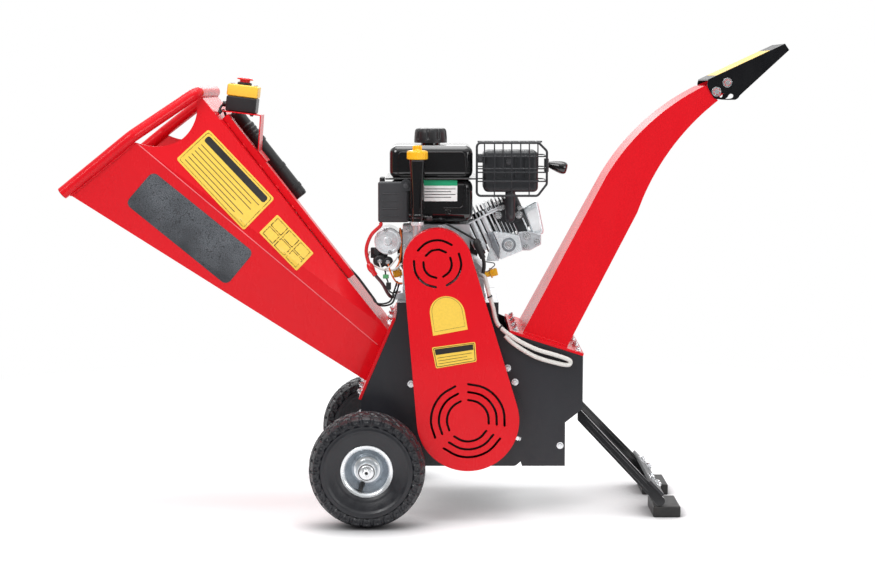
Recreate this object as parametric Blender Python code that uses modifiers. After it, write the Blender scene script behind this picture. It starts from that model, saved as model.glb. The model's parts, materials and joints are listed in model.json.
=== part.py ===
"""Vertical wood chipper on two pneumatic wheels: hopper, drum chipper, engine and discharge chute.

X runs from the hopper to the chute, Y from the belt side to the far side, Z up. The floor is Z = 0.
All sizes are in metres.
"""

import math

import bmesh
import bpy
import numpy as np
from mathutils import Matrix, Vector

# Clearances
GAP = 0.0003
RUN = 0.0001

# Wheels and axle
TYRE_RADIUS = 0.1275
TYRE_WIDTH = 0.085
RIM_RADIUS = 0.058
BEAD_RADIUS = 0.0525
TYRE_STEPS = 28
RIM_STEPS = 24
TRACK = 0.528
AXLE_RADIUS = 0.010
AXLE_X = -0.1535
AXLE_CAP_RADIUS = 0.0175
HUB_RADIUS = 0.020
HUB_WIDTH = 0.072

# Chipper housing
HOUSING_HALF = 0.155
PLATE = 0.005
HOUSING_LEFT = -0.1708
HOUSING_BASE = 0.1125
HOUSING_RIGHT = 0.3185
STAND_PLATE_X = 0.285
STAND_PLATE_TOP = 0.211
HOUSING_RIGHT_BASE = 0.2418
FLANGE_PLATE = 0.006
THROAT_TOP = (-0.0921, 0.4439)
THROAT_LENGTH = 0.1992
THROAT_LEAN = 66.8
OUTLET_LEFT = (0.1590, 0.4123)
OUTLET_LENGTH = 0.1728
OUTLET_FALL = 17.5
DECK_Z = 0.4805
DECK_PLATE = 0.006
DECK_LEFT = -0.0898
DECK_RIGHT = 0.1355

# Rotor and its bearings
ROTOR_X = 0.067
ROTOR_Z = 0.218
DRUM_RADIUS = 0.072
DRUM_LENGTH = 2 * (HOUSING_HALF - PLATE - 0.010)
KNIFE_REACH = 0.0905
KNIFE_LENGTH = 0.045
KNIFE_THICKNESS = 0.007
KNIFE_ANGLE = 35.0
KNIFE_COUNT = 2
SCROLL_RADIUS = 0.098
SCROLL_SHEET = 0.004
SHAFT_RADIUS = 0.015
BEARING_PLATE_RADIUS = 0.125
BEARING_PLATE_THICKNESS = 0.005
BEARING_RADIUS = 0.044
BEARING_DEPTH = 0.020
SHAFT_FAR_END = HOUSING_HALF + 0.029

# Belt drive
CRANK_X = 0.0
CRANK_Z = 0.576
BELT_Y = -(HOUSING_HALF + 0.0400)
BELT_WIDTH = 0.0166
BELT_DEPTH = 0.008
BELT_LEAN = 0.0028
ROTOR_PULLEY_PITCH = 0.062
CRANK_PULLEY_PITCH = 0.050
PULLEY_WIDTH = 0.024
CRANK_RADIUS = 0.0127
GUARD_SHEET = 0.002
GUARD_FRONT_Y = BELT_Y - 0.0190
GUARD_TOP_RADIUS = 0.0755
GUARD_TOP_Z = 0.5725
GUARD_BASE_RADIUS = 0.1130
GUARD_BASE_Z = 0.2255
GUARD_SLOT = 0.0052

# Hopper
HOPPER_SHEET = 0.0025
NOTCH_SCOOP = [
    (-0.648, 0.8385),
    (-0.634, 0.8335),
    (-0.610, 0.8290),
    (-0.583, 0.8310),
    (-0.560, 0.8400),
    (-0.543, 0.8560),
    (-0.531, 0.8790),
    (-0.5260, 0.9020),
    (-0.5270, 0.9230),
    (-0.5600, 0.9900),
    (-0.7200, 0.9500),
    (-0.6900, 0.8300),
]
HOPPER_FLANGE_HALF = HOUSING_HALF - PLATE
THROAT_HALF = 0.100
THROAT_UPPER = 0.038
THROAT_LOWER = 0.163
THROAT_CREASE = 0.080
MOUTH_HALF = 0.262
MOUTH_TOP_HALF = 0.150
HANDLE_RADIUS = 0.0135
HANDLE_END = (-0.8060, 0.7285)
HANDLE_KNEE = (-0.6560, 0.8500)
HANDLE_TOP = (-0.5250, 0.9440)
HANDLE_TOP_HALF = 0.170
HANDLE_BEND = 0.034

# Stop switch
BUTTON_STEM = 0.0118

# Discharge chute
CHUTE_SHEET = 0.0025
CHUTE_FLANGE_HALF = HOUSING_HALF
CHUTE_BASE_HALF = 0.110
CHUTE_TOP_HALF = 0.078
CHUTE_BACK_SEAT = 0.0320
CHUTE_BACK_KNEE = (0.3780, 0.7561)
CHUTE_BACK_EXIT = (0.5953, 0.9584)
CHUTE_FRONT_SEAT = 0.1370
CHUTE_FRONT_KNEE = (0.4490, 0.6753)
CHUTE_FRONT_EXIT = (0.6262, 0.9259)
CHUTE_TURN = 33.0

# Deflector
PIVOT = (0.6457, 0.9654)
PIVOT_BOLT_RADIUS = 0.004
LOCK_REACH = 0.031
LOCK_ANGLE = 220.0
DEFLECTOR_TRAVEL = 65.0
DEFLECTOR_SHEET = 0.002
EAR_HALF = 0.0785

# Drop stand
ARM_WIDTH = 0.021
ARM_THICKNESS = 0.012
ARM_TOP = (0.316, 0.226)
ARM_TOP_Y = 0.130
ARM_FOOT = (0.498, 0.036)
ARM_FOOT_Y = 0.168
STAND_BAR_X = 0.3140
FOOT_LEFT = 0.4820
FOOT_RIGHT = 0.5430
FOOT_HEIGHT = 0.0245
FOOT_INNER = 0.0585
FOOT_OUTER = 0.1770

# Engine
TANK_NEAR = -0.115
TANK_FAR = 0.090
TANK_SEAM_Z = 0.757
TANK_UPPER = 0.0695
CYLINDER_LEAN = 25.0
CYLINDER_Y = -0.020
FIN_RADIUS = 0.052
FIN_COUNT = 8
FIN_PITCH = 0.0090
FIN_SHEET = 0.0032
CASE_DECK_X = 0.072
CASE_RIGHT = 0.1045
CASE_LEFT = -0.078
CASE_NEAR = -0.100
CASE_FAR = 0.098
TANK_RIGHT = 0.0785
TANK_BASE = 0.656
HEAD_NEAR = -0.072
MUFFLER_NEAR = -0.118
MUFFLER_FAR = -0.010
GRIP_X = 0.2500
GRIP_Y = -0.060
GRIP_Z = 0.7830

RED = (0.78, 0.02, 0.025, 1.0)
BLACK = (0.018, 0.018, 0.02, 1.0)
ZINC = (0.70, 0.72, 0.74, 1.0)
ALLOY = (0.55, 0.56, 0.57, 1.0)
RUBBER = (0.03, 0.03, 0.032, 1.0)
YELLOW = (0.95, 0.60, 0.03, 1.0)
WHITE = (0.86, 0.85, 0.83, 1.0)
GREY = (0.22, 0.22, 0.23, 1.0)

SIDES = (("near", -1), ("far", 1))


def clear_scene():
    for item in list(bpy.data.objects):
        bpy.data.objects.remove(item, do_unlink=True)
    for group in list(bpy.data.collections):
        bpy.data.collections.remove(group)


clear_scene()
PARTS = bpy.data.collections.new("vertical_wood_chipper")
CUTTERS = bpy.data.collections.new("cutters")
for collection in (PARTS, CUTTERS):
    bpy.context.scene.collection.children.link(collection)
ROOT = bpy.data.objects.new("chipper_root", None)
PARTS.objects.link(ROOT)
PAINTS = {}


def paint(name, colour, metallic, roughness):
    if name not in PAINTS:
        material = bpy.data.materials.new(name)
        material.use_nodes = True
        shader = material.node_tree.nodes["Principled BSDF"]
        shader.inputs["Base Color"].default_value = colour
        shader.inputs["Metallic"].default_value = metallic
        shader.inputs["Roughness"].default_value = roughness
        PAINTS[name] = material
    return PAINTS[name]


FINISH = {
    "red_paint": (RED, 0.0, 0.25),
    "black_paint": (BLACK, 0.0, 0.35),
    "zinc": (ZINC, 1.0, 0.30),
    "alloy": (ALLOY, 1.0, 0.45),
    "steel": (GREY, 1.0, 0.35),
    "rubber": (RUBBER, 0.0, 0.80),
    "black_plastic": (BLACK, 0.0, 0.50),
    "yellow_plastic": (YELLOW, 0.0, 0.35),
    "red_plastic": (RED, 0.0, 0.35),
    "white_sleeve": (WHITE, 0.0, 0.60),
}


def add_object(name, mesh, finish, matrix=None):
    """A named piece, or a cutter when no finish is given."""
    item = bpy.data.objects.new(name, mesh)
    if matrix is not None:
        item.matrix_world = matrix
    if finish is None:
        CUTTERS.objects.link(item)
        item.hide_render = True
        item.display_type = "WIRE"
    else:
        PARTS.objects.link(item)
        mesh.materials.clear()
        mesh.materials.append(paint(finish, *FINISH[finish]))
    item.parent = ROOT
    return item


def finish_mesh(name, bm):
    bmesh.ops.recalc_face_normals(bm, faces=bm.faces)
    mesh = bpy.data.meshes.new(name)
    bm.to_mesh(mesh)
    bm.free()
    return mesh


def convert(curve_object):
    """The welded mesh of a curve object, which is removed."""
    bpy.context.view_layer.update()
    graph = bpy.context.evaluated_depsgraph_get()
    mesh = bpy.data.meshes.new_from_object(curve_object.evaluated_get(graph))
    bm = bmesh.new()
    bm.from_mesh(mesh)
    bmesh.ops.remove_doubles(bm, verts=bm.verts, dist=1e-6)
    bmesh.ops.recalc_face_normals(bm, faces=bm.faces)
    bm.to_mesh(mesh)
    bm.free()
    curve = curve_object.data
    bpy.data.objects.remove(curve_object)
    bpy.data.curves.remove(curve)
    return mesh


def outline_mesh(name, outlines, thickness):
    """A flat plate in local XY, thickness centred on local Z, from closed outlines; inner ones are holes."""
    curve = bpy.data.curves.new(name, "CURVE")
    curve.dimensions = "2D"
    curve.fill_mode = "BOTH"
    curve.extrude = thickness / 2
    for outline in outlines:
        spline = curve.splines.new("POLY")
        spline.points.add(len(outline) - 1)
        for point, (u, v) in zip(spline.points, outline):
            point.co = (u, v, 0.0, 1.0)
        spline.use_cyclic_u = True
    holder = bpy.data.objects.new(name, curve)
    bpy.context.scene.collection.objects.link(holder)
    return convert(holder)


def side_matrix(y_low, y_high):
    """Local X and Y lie along world X and Z, and the thickness spans the given Y range."""
    turn = Matrix.Rotation(math.radians(90), 4, "X")
    return Matrix.Translation((0, (y_low + y_high) / 2, 0)) @ turn


def prism(name, outlines, y_low, y_high, finish):
    """An outline in world XZ, extruded along Y."""
    mesh = outline_mesh(name, outlines, y_high - y_low)
    mesh.transform(side_matrix(y_low, y_high))
    return add_object(name, mesh, finish)


def sloped_plate(name, outlines, corner, direction, outward, lift, thickness, finish):
    """A plate whose outline is given as (distance along the slope, Y), lifted off the slope line."""
    along = Vector((direction[0], 0, direction[1]))
    normal = Vector((outward[0], 0, outward[1]))
    base = Vector((corner[0], 0, corner[1])) + normal * (lift + thickness / 2)
    across = normal.cross(along)
    matrix = Matrix((along, across, normal)).transposed().to_4x4()
    flipped = [[(u, v if across.y > 0 else -v) for u, v in outline] for outline in outlines]
    mesh = outline_mesh(name, flipped, thickness)
    mesh.transform(Matrix.Translation(base) @ matrix)
    return add_object(name, mesh, finish)


def circle(centre, radius, count=32, start=0.0):
    step = 2 * math.pi / count
    return [
        (centre[0] + radius * math.cos(start + step * i), centre[1] + radius * math.sin(start + step * i))
        for i in range(count)
    ]


def arc(centre, radius, begin, end, count):
    """Points on an arc, angles in degrees."""
    angles = np.radians(np.linspace(begin, end, count + 1))
    return [(centre[0] + radius * math.cos(a), centre[1] + radius * math.sin(a)) for a in angles]


def rounded_rectangle(u_low, v_low, u_high, v_high, radius, count=5):
    points = []
    corners = (
        (u_high - radius, v_high - radius, 0),
        (u_low + radius, v_high - radius, 90),
        (u_low + radius, v_low + radius, 180),
        (u_high - radius, v_low + radius, 270),
    )
    for u, v, begin in corners:
        points += arc((u, v), radius, begin, begin + 90, count)
    return points


def rectangle(u_low, v_low, u_high, v_high):
    return [(u_low, v_low), (u_high, v_low), (u_high, v_high), (u_low, v_high)]


def belt_hull(top, top_radius, base, base_radius, count=15):
    """The outline round two circles, as a belt lies round them."""
    dx = top[0] - base[0]
    dz = top[1] - base[1]
    reach = math.hypot(dx, dz)
    heading = math.degrees(math.atan2(dz, dx))
    spread = math.degrees(math.acos((base_radius - top_radius) / reach))
    upper = arc(top, top_radius, heading - spread, heading + spread, count)
    lower = arc(base, base_radius, heading + spread, heading + 360 - spread, count)
    return upper + lower


def offset_path(points, distance):
    """An open path moved sideways, mitred at its corners; positive is to the left."""
    path = [Vector(p) for p in points]
    moved = []
    for i, point in enumerate(path):
        before = (point - path[i - 1]).normalized() if i else (path[1] - point).normalized()
        after = (path[i + 1] - point).normalized() if i + 1 < len(path) else before
        left = Vector((-before.y - after.y, before.x + after.x)).normalized()
        reach = distance / max(0.3, left.dot(Vector((-before.y, before.x))))
        moved.append(tuple(point + left * reach))
    return moved


def band(name, points, sheet, y_low, y_high, finish):
    """A bent sheet: a path in world XZ thickened to its left and extruded along Y."""
    return prism(name, [list(points) + offset_path(points, sheet)[::-1]], y_low, y_high, finish)


def turned(name, profile, steps, finish, centre, axis="Y"):
    """A closed or axis-to-axis profile of (radius, height), outer side from top to bottom, turned."""
    bm = bmesh.new()
    rows = [bm.verts.new((radius, 0, height)) for radius, height in profile]
    pairs = list(zip(rows, rows[1:]))
    if profile[0][0] > 1e-7:
        pairs.append((rows[-1], rows[0]))
    for first, second in pairs:
        bm.edges.new((first, second))
    mesh = bpy.data.meshes.new(name)
    bm.to_mesh(mesh)
    bm.free()
    if axis == "Y":
        turn = Matrix.Rotation(math.radians(-90), 4, "X")
    elif axis == "Z":
        turn = Matrix.Identity(4)
    else:
        turn = axis
    item = add_object(name, mesh, finish, Matrix.Translation(centre) @ turn)
    screw = item.modifiers.new("Turned", "SCREW")
    screw.steps = steps
    screw.render_steps = steps
    screw.use_merge_vertices = True
    screw.merge_threshold = 0.00001
    screw.use_smooth_shade = False
    return item


def pin(name, radius, low, high, steps, finish, centre, axis="Y"):
    return turned(name, [(0, high), (radius, high), (radius, low), (0, low)], steps, finish, centre, axis)


def tube(name, points, radius, finish, resolution=2, closed=False):
    """A round bar or wire along a list of points."""
    curve = bpy.data.curves.new(name, "CURVE")
    curve.dimensions = "3D"
    curve.bevel_depth = radius
    curve.bevel_resolution = resolution
    curve.use_fill_caps = not closed
    spline = curve.splines.new("POLY")
    spline.points.add(len(points) - 1)
    for point, place in zip(spline.points, points):
        point.co = (*place, 1.0)
    spline.use_cyclic_u = closed
    holder = bpy.data.objects.new(name, curve)
    bpy.context.scene.collection.objects.link(holder)
    return add_object(name, convert(holder), finish)


def rounded_path(points, radius, count=6):
    """A polyline in space with its corners rounded to arcs."""
    path = [Vector(p) for p in points]
    result = [path[0]]
    for before, corner, after in zip(path, path[1:], path[2:]):
        incoming = (before - corner).normalized()
        outgoing = (after - corner).normalized()
        half = incoming.angle(outgoing) / 2
        reach = radius / math.tan(half)
        begin = corner + incoming * reach
        end = corner + outgoing * reach
        centre = corner + (incoming + outgoing).normalized() * (radius / math.sin(half))
        first = begin - centre
        sweep = first.angle(end - centre)
        spin = first.cross(end - centre).normalized()
        for i in range(count + 1):
            result.append(centre + Matrix.Rotation(sweep * i / count, 3, spin) @ first)
    result.append(path[-1])
    return result


def smooth_route(points, count):
    """Points along a smooth curve through the given ones."""
    path = [np.array(p, dtype=float) for p in points]
    path = [2 * path[0] - path[1]] + path + [2 * path[-1] - path[-2]]
    result = []
    spans = len(path) - 3
    for i in range(count + 1):
        place = spans * i / count
        k = min(int(place), spans - 1)
        t = place - k
        a, b, c, d = path[k : k + 4]
        result.append(
            tuple(0.5 * (2 * b + (c - a) * t + (2 * a - 5 * b + 4 * c - d) * t**2
                         + (3 * b - a - 3 * c + d) * t**3))
        )
    return result


def cord_route(points, count):
    """A smooth curve whose first and last stretches stay straight, square to what they meet."""
    return [points[0]] + smooth_route(points[1:-1], count) + [points[-1]]


def box(name, low, high, finish, bevel=0.0, segments=1, matrix=None):
    bm = bmesh.new()
    bmesh.ops.create_cube(bm, size=1.0)
    size = Vector(high) - Vector(low)
    middle = (Vector(high) + Vector(low)) / 2
    bm.transform(Matrix.Translation(middle) @ Matrix.Diagonal((*size, 1)))
    if matrix is not None:
        bm.transform(matrix)
    item = add_object(name, finish_mesh(name, bm), finish)
    if bevel:
        add_bevel(item, bevel, segments)
    return item


def add_bevel(item, width, segments=1, angle=35.0):
    edge = item.modifiers.new("Edges", "BEVEL")
    edge.width = width
    edge.segments = segments
    edge.limit_method = "ANGLE"
    edge.angle_limit = math.radians(angle)
    return edge


def combine(item, other, operation):
    """A Boolean with another solid, which becomes a cutter or a joined piece."""
    if other.name in PARTS.objects:
        PARTS.objects.unlink(other)
        CUTTERS.objects.link(other)
    other.hide_render = True
    other.display_type = "WIRE"
    cut = item.modifiers.new(operation.title(), "BOOLEAN")
    cut.operation = operation
    cut.object = other
    cut.solver = "EXACT"
    return item


def cut(item, *others):
    for other in others:
        combine(item, other, "DIFFERENCE")
    return item


def join(item, *others):
    for other in others:
        combine(item, other, "UNION")
    return item


def loft(name, sections, finish, closed_ends=False):
    """A skin through rings of equal point counts."""
    bm = bmesh.new()
    rings = [[bm.verts.new(p) for p in ring] for ring in sections]
    count = len(rings[0])
    for ring, following in zip(rings, rings[1:]):
        for i in range(count):
            k = (i + 1) % count
            bm.faces.new((ring[i], ring[k], following[k], following[i]))
    if closed_ends:
        bm.faces.new(rings[0][::-1])
        bm.faces.new(rings[-1])
    return add_object(name, finish_mesh(name, bm), finish)


def add_shell(item, sheet, offset=-1.0):
    shell = item.modifiers.new("Sheet", "SOLIDIFY")
    shell.thickness = sheet
    shell.offset = offset
    shell.use_even_offset = True
    return shell


def unit(angle):
    return (math.cos(math.radians(angle)), math.sin(math.radians(angle)))


def along(point, direction, distance):
    return (point[0] + direction[0] * distance, point[1] + direction[1] * distance)


THROAT_DOWN = unit(180 + THROAT_LEAN)
THROAT_OUT = unit(90 + THROAT_LEAN)
OUTLET_ALONG = unit(-OUTLET_FALL)
OUTLET_UP = unit(90 - OUTLET_FALL)
ROTOR = (ROTOR_X, ROTOR_Z)
CRANK = (CRANK_X, CRANK_Z)
WHEEL_Z = TYRE_RADIUS


def housing():
    """Side plates, liners, flanges and the engine deck of the chipper chamber."""
    throat_bottom = along(THROAT_TOP, THROAT_DOWN, THROAT_LENGTH)
    outlet_right = along(OUTLET_LEFT, OUTLET_ALONG, OUTLET_LENGTH)
    outline = [
        (DECK_LEFT, DECK_Z),
        THROAT_TOP,
        throat_bottom,
        (HOUSING_LEFT, throat_bottom[1] - 0.004),
        (HOUSING_LEFT, HOUSING_BASE),
        (0.1710, HOUSING_BASE),
        (0.1860, HOUSING_BASE + 0.0100),
        (0.1890, HOUSING_BASE),
        (STAND_PLATE_X, HOUSING_BASE),
        (STAND_PLATE_X, STAND_PLATE_TOP),
        (outlet_right[0], HOUSING_RIGHT_BASE),
        outlet_right,
        OUTLET_LEFT,
        (DECK_RIGHT, 0.4238),
        (DECK_RIGHT, DECK_Z),
    ]
    inner = HOUSING_HALF - PLATE
    for side, sign in SIDES:
        low, high = sorted((sign * inner, sign * HOUSING_HALF))
        holes = [circle(ROTOR, SHAFT_RADIUS + 0.010, 24), circle((AXLE_X, WHEEL_Z), AXLE_RADIUS + GAP, 24)]
        prism(f"side_plate_{side}", [outline] + holes, low, high, "black_paint")
    inside = inner - GAP
    frame_hole = rectangle(THROAT_UPPER - 0.003, -THROAT_HALF - 0.004, THROAT_LOWER + 0.003, THROAT_HALF + 0.004)
    frame = rectangle(0.001, -inside, THROAT_LENGTH - 0.001, inside)
    sloped_plate("inlet_frame", [frame, frame_hole], THROAT_TOP, THROAT_DOWN, THROAT_OUT,
                 -FLANGE_PLATE, FLANGE_PLATE, "black_paint")
    outlet_hole = rectangle(0.030, -CHUTE_BASE_HALF, 0.140, CHUTE_BASE_HALF)
    frame = rectangle(0.001, -inside, OUTLET_LENGTH - 0.001, inside)
    sloped_plate("outlet_frame", [frame, outlet_hole], OUTLET_LEFT, OUTLET_ALONG, OUTLET_UP,
                 -FLANGE_PLATE, FLANGE_PLATE, "black_paint")
    liners(inside)
    lip = 0.003
    deck = [
        (DECK_LEFT, DECK_Z),
        (DECK_LEFT, THROAT_TOP[1] + 0.006),
        (DECK_LEFT + lip, THROAT_TOP[1] + 0.006),
        (DECK_LEFT + lip, DECK_Z - DECK_PLATE),
        (DECK_RIGHT - lip, DECK_Z - DECK_PLATE),
        (DECK_RIGHT - lip, 0.430),
        (DECK_RIGHT, 0.430),
        (DECK_RIGHT, DECK_Z),
    ]
    prism("engine_deck", [deck], -inside, inside, "black_paint")


def liners(inside):
    """The bent sheets that guide wood to the drum and chips to the chute, and the bed knife."""
    depth = FLANGE_PLATE + GAP
    low_start = along(along(THROAT_TOP, THROAT_DOWN, THROAT_LOWER + 0.004), THROAT_OUT, -depth)
    low_end = along(along(OUTLET_LEFT, OUTLET_ALONG, 0.1405), OUTLET_UP, -depth)
    path = [low_start] + arc(ROTOR, SCROLL_RADIUS, 170, 326, 14) + [low_end]
    band("lower_scroll", path, -SCROLL_SHEET, -inside, inside, "black_paint")
    top_start = along(along(THROAT_TOP, THROAT_DOWN, THROAT_UPPER - 0.004), THROAT_OUT, -depth)
    top_end = along(along(OUTLET_LEFT, OUTLET_ALONG, 0.0295), OUTLET_UP, -depth - 0.003)
    path = [top_start, (-0.012, 0.340)] + arc(ROTOR, SCROLL_RADIUS + 0.005, 100, 50, 6) + [top_end]
    band("upper_liner", path, SCROLL_SHEET, -inside, inside, "black_paint")
    floor_end = along(ROTOR, unit(170), SCROLL_RADIUS)
    floor = Vector(floor_end) - Vector(low_start)
    floor.normalize()
    rise = Vector((-floor.y, floor.x))
    back = Vector(floor_end) - floor * 0.048
    tip = Vector(floor_end) - floor * 0.004
    knife = [
        tuple(back + rise * GAP),
        tuple(tip + rise * GAP),
        tuple(tip + rise * 0.008 - floor * 0.001),
        tuple(back + rise * 0.008),
    ]
    prism("bed_knife", [knife], -inside + 0.002, inside - 0.002, "steel")


def rotor():
    """Shaft, drum and knives that turn in the chamber, with bearings and their plates outside it."""
    pin("rotor_shaft", SHAFT_RADIUS, -SHAFT_FAR_END, -(BELT_Y - PULLEY_WIDTH / 2 - 0.002), 32, "steel",
        (ROTOR_X, 0, ROTOR_Z), Matrix.Rotation(math.radians(90), 4, "X"))
    half = DRUM_LENGTH / 2
    drum = prism("rotor_drum", [circle(ROTOR, DRUM_RADIUS, 40), circle(ROTOR, SHAFT_RADIUS + GAP, 32)],
                 -half, half, "steel")
    slope = math.radians(KNIFE_ANGLE)
    ahead = Vector((math.cos(slope), math.sin(slope)))
    outward = Vector((-math.sin(slope), math.cos(slope)))
    tip = Vector((0.0, KNIFE_REACH))
    heel = tip - ahead * KNIFE_LENGTH
    seat_back = heel - outward * (KNIFE_THICKNESS + GAP) - ahead * GAP
    seat_front = tip - outward * (KNIFE_THICKNESS + GAP) - ahead * 0.012
    pocket = [
        seat_back,
        seat_front,
        seat_front + Vector((0.004, -0.006)),
        Vector((0.024, 0.060)),
        Vector((0.036, 0.090)),
        Vector((0.0, 0.110)),
        heel + outward * 0.02 - ahead * GAP,
    ]
    blade = [
        heel - outward * KNIFE_THICKNESS,
        tip - outward * KNIFE_THICKNESS - ahead * 0.007,
        tip,
        heel,
    ]
    for index in range(KNIFE_COUNT):
        turn = Matrix.Rotation(math.radians(20 + index * 360 / KNIFE_COUNT), 2)
        def place(points, turn=turn):
            return [tuple(Vector(ROTOR) + turn @ p) for p in points]
        cutter = prism(f"knife_pocket_{index + 1}", [place(pocket)], -half - 0.01, half + 0.01, None)
        cut(drum, cutter)
        prism(f"rotor_knife_{index + 1}", [place(blade)], -half + 0.004, half - 0.004, "zinc")
    for side, sign in SIDES:
        plate = [p for p in circle(ROTOR, BEARING_PLATE_RADIUS, 56) if p[1] > HOUSING_BASE + 0.003]
        low = HOUSING_HALF + GAP
        ends = sorted((sign * low, sign * (low + BEARING_PLATE_THICKNESS)))
        prism(f"bearing_plate_{side}", [plate, circle(ROTOR, SHAFT_RADIUS + 0.012, 24)], *ends, "black_paint")
        foot = low + BEARING_PLATE_THICKNESS + GAP
        bore = SHAFT_RADIUS + RUN
        profile = [
            (bore, BEARING_DEPTH),
            (BEARING_RADIUS * 0.62, BEARING_DEPTH),
            (BEARING_RADIUS, 0.0055),
            (BEARING_RADIUS, 0.0),
            (bore, 0.0),
        ]
        turn = Matrix.Rotation(math.radians(-90 * sign), 4, "X")
        turned(f"bearing_{side}", profile, 32, "steel", (ROTOR_X, sign * foot, ROTOR_Z), turn)


def pulley_profile(pitch, width, bore, hub):
    """A grooved pulley, its height along the shaft, centred on the belt."""
    outer = pitch + BELT_DEPTH / 2
    root = pitch - BELT_DEPTH / 2 - 0.002
    mouth = BELT_WIDTH / 2 + GAP * 1.5
    slant = BELT_LEAN / BELT_DEPTH
    floor = mouth - slant * (outer - root)
    half = width / 2
    rim = [(bore, half + hub), (bore + 0.012, half + hub), (bore + 0.012, half)] if hub else [(bore, half)]
    return rim + [
        (outer, half),
        (outer, mouth),
        (root, floor),
        (root, -floor),
        (outer, -mouth),
        (outer, -half),
        (bore, -half),
    ]


def belt_drive():
    """Crankshaft with its pulley, the rotor pulley, the belt between them and the guard over all."""
    back = Matrix.Rotation(math.radians(-90), 4, "X")
    turned("rotor_pulley", pulley_profile(ROTOR_PULLEY_PITCH, PULLEY_WIDTH, SHAFT_RADIUS + GAP, 0.0), 24,
           "steel", (ROTOR_X, BELT_Y, ROTOR_Z), back)
    crank = pin("crankshaft", CRANK_RADIUS, 0.060, -(BELT_Y - PULLEY_WIDTH / 2 - 0.002), 32, "steel",
                (CRANK_X, 0, CRANK_Z), Matrix.Rotation(math.radians(90), 4, "X"))
    join(crank, turned("crank_pulley", pulley_profile(CRANK_PULLEY_PITCH, PULLEY_WIDTH, CRANK_RADIUS - 0.002, 0.012),
                       24, "steel", (CRANK_X, BELT_Y, CRANK_Z), back))
    outer = belt_hull(CRANK, CRANK_PULLEY_PITCH + BELT_DEPTH / 2, ROTOR, ROTOR_PULLEY_PITCH + BELT_DEPTH / 2)
    inner = belt_hull(CRANK, CRANK_PULLEY_PITCH - BELT_DEPTH / 2, ROTOR, ROTOR_PULLEY_PITCH - BELT_DEPTH / 2)
    wide = BELT_WIDTH / 2
    narrow = wide - BELT_LEAN
    sections = []
    for (u, v), (p, q) in zip(outer, inner):
        sections.append([
            (u, BELT_Y - wide, v),
            (u, BELT_Y + wide, v),
            (p, BELT_Y + narrow, q),
            (p, BELT_Y - narrow, q),
        ])
    loft("drive_belt", sections + sections[:1], "rubber")
    weld_last()
    guard()


def weld_last():
    """Welds the seam of a closed loop."""
    item = PARTS.objects["drive_belt"]
    bm = bmesh.new()
    bm.from_mesh(item.data)
    bmesh.ops.remove_doubles(bm, verts=bm.verts, dist=1e-6)
    bmesh.ops.recalc_face_normals(bm, faces=bm.faces)
    bm.to_mesh(item.data)
    bm.free()


def ring_slot(centre, radius, begin, end, width, count=4, tips=2):
    """A slot with round ends along an arc."""
    half = width / 2
    outer = arc(centre, radius + half, begin, end, count)
    inner = arc(centre, radius - half, end, begin, count)
    tip_end = arc(along(centre, unit(end), radius), half, end, end + 180, tips)[1:-1]
    tip_begin = arc(along(centre, unit(begin), radius), half, begin + 180, begin + 360, tips)[1:-1]
    return outer + tip_end + inner + tip_begin


def guard():
    """The belt guard: a flat pan with rounded ends and rings of vent slots."""
    top = (CRANK_X, GUARD_TOP_Z)
    base = (ROTOR_X, GUARD_BASE_Z)
    rear = -(HOUSING_HALF + GAP + BEARING_PLATE_THICKNESS + GAP)
    outline = belt_hull(top, GUARD_TOP_RADIUS, base, GUARD_BASE_RADIUS)
    hollow = belt_hull(top, GUARD_TOP_RADIUS - GUARD_SHEET, base, GUARD_BASE_RADIUS - GUARD_SHEET)
    item = prism("belt_guard", [outline], GUARD_FRONT_Y, rear, "red_paint")
    cut(item, prism("guard_hollow", [hollow], GUARD_FRONT_Y + GUARD_SHEET, rear + 0.02, None))
    rings = (
        (top, 0.0516, ((53, 146), (173, 266), (293, 386))),
        (top, 0.0310, ((53, 146), (173, 266), (293, 386))),
        (base, 0.0815, ((-8, 90), (110, 208), (229, 331))),
        (base, 0.0640, ((-8, 90), (110, 208), (229, 331))),
        (base, 0.0462, ((-8, 90), (110, 208), (229, 331))),
    )
    slots = []
    for centre, radius, spans in rings:
        for begin, end in spans:
            slots.append(ring_slot(centre, radius, begin, end, GUARD_SLOT, 3 if radius < 0.04 else 4))
    for index, slot in enumerate(slots):
        cut(item, prism(f"guard_slot_{index + 1:02d}", [slot], GUARD_FRONT_Y - 0.01,
                        GUARD_FRONT_Y + GUARD_SHEET + 0.01, None))


def hopper_ring(points):
    """A ring of six points, from three (x, y, z) points of the near half."""
    return [tuple(p) for p in points] + [(x, -y, z) for x, y, z in reversed(points)]


def handle_offset():
    """The unit vector from the handle's lower run towards the hopper wall."""
    run = Vector(HANDLE_KNEE) - Vector(HANDLE_END)
    run.normalize()
    return Vector((run.y, -run.x))


def throat_lift(point):
    """How far a point stands off the inlet frame's outer face."""
    return (point[0] - THROAT_TOP[0]) * THROAT_OUT[0] + (point[2] - THROAT_TOP[1]) * THROAT_OUT[1]


def at_lift(start, end, lift):
    """The point of a straight line at a given height over the inlet frame."""
    share = (lift - throat_lift(start)) / (throat_lift(end) - throat_lift(start))
    return start + (end - start) * share


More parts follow.
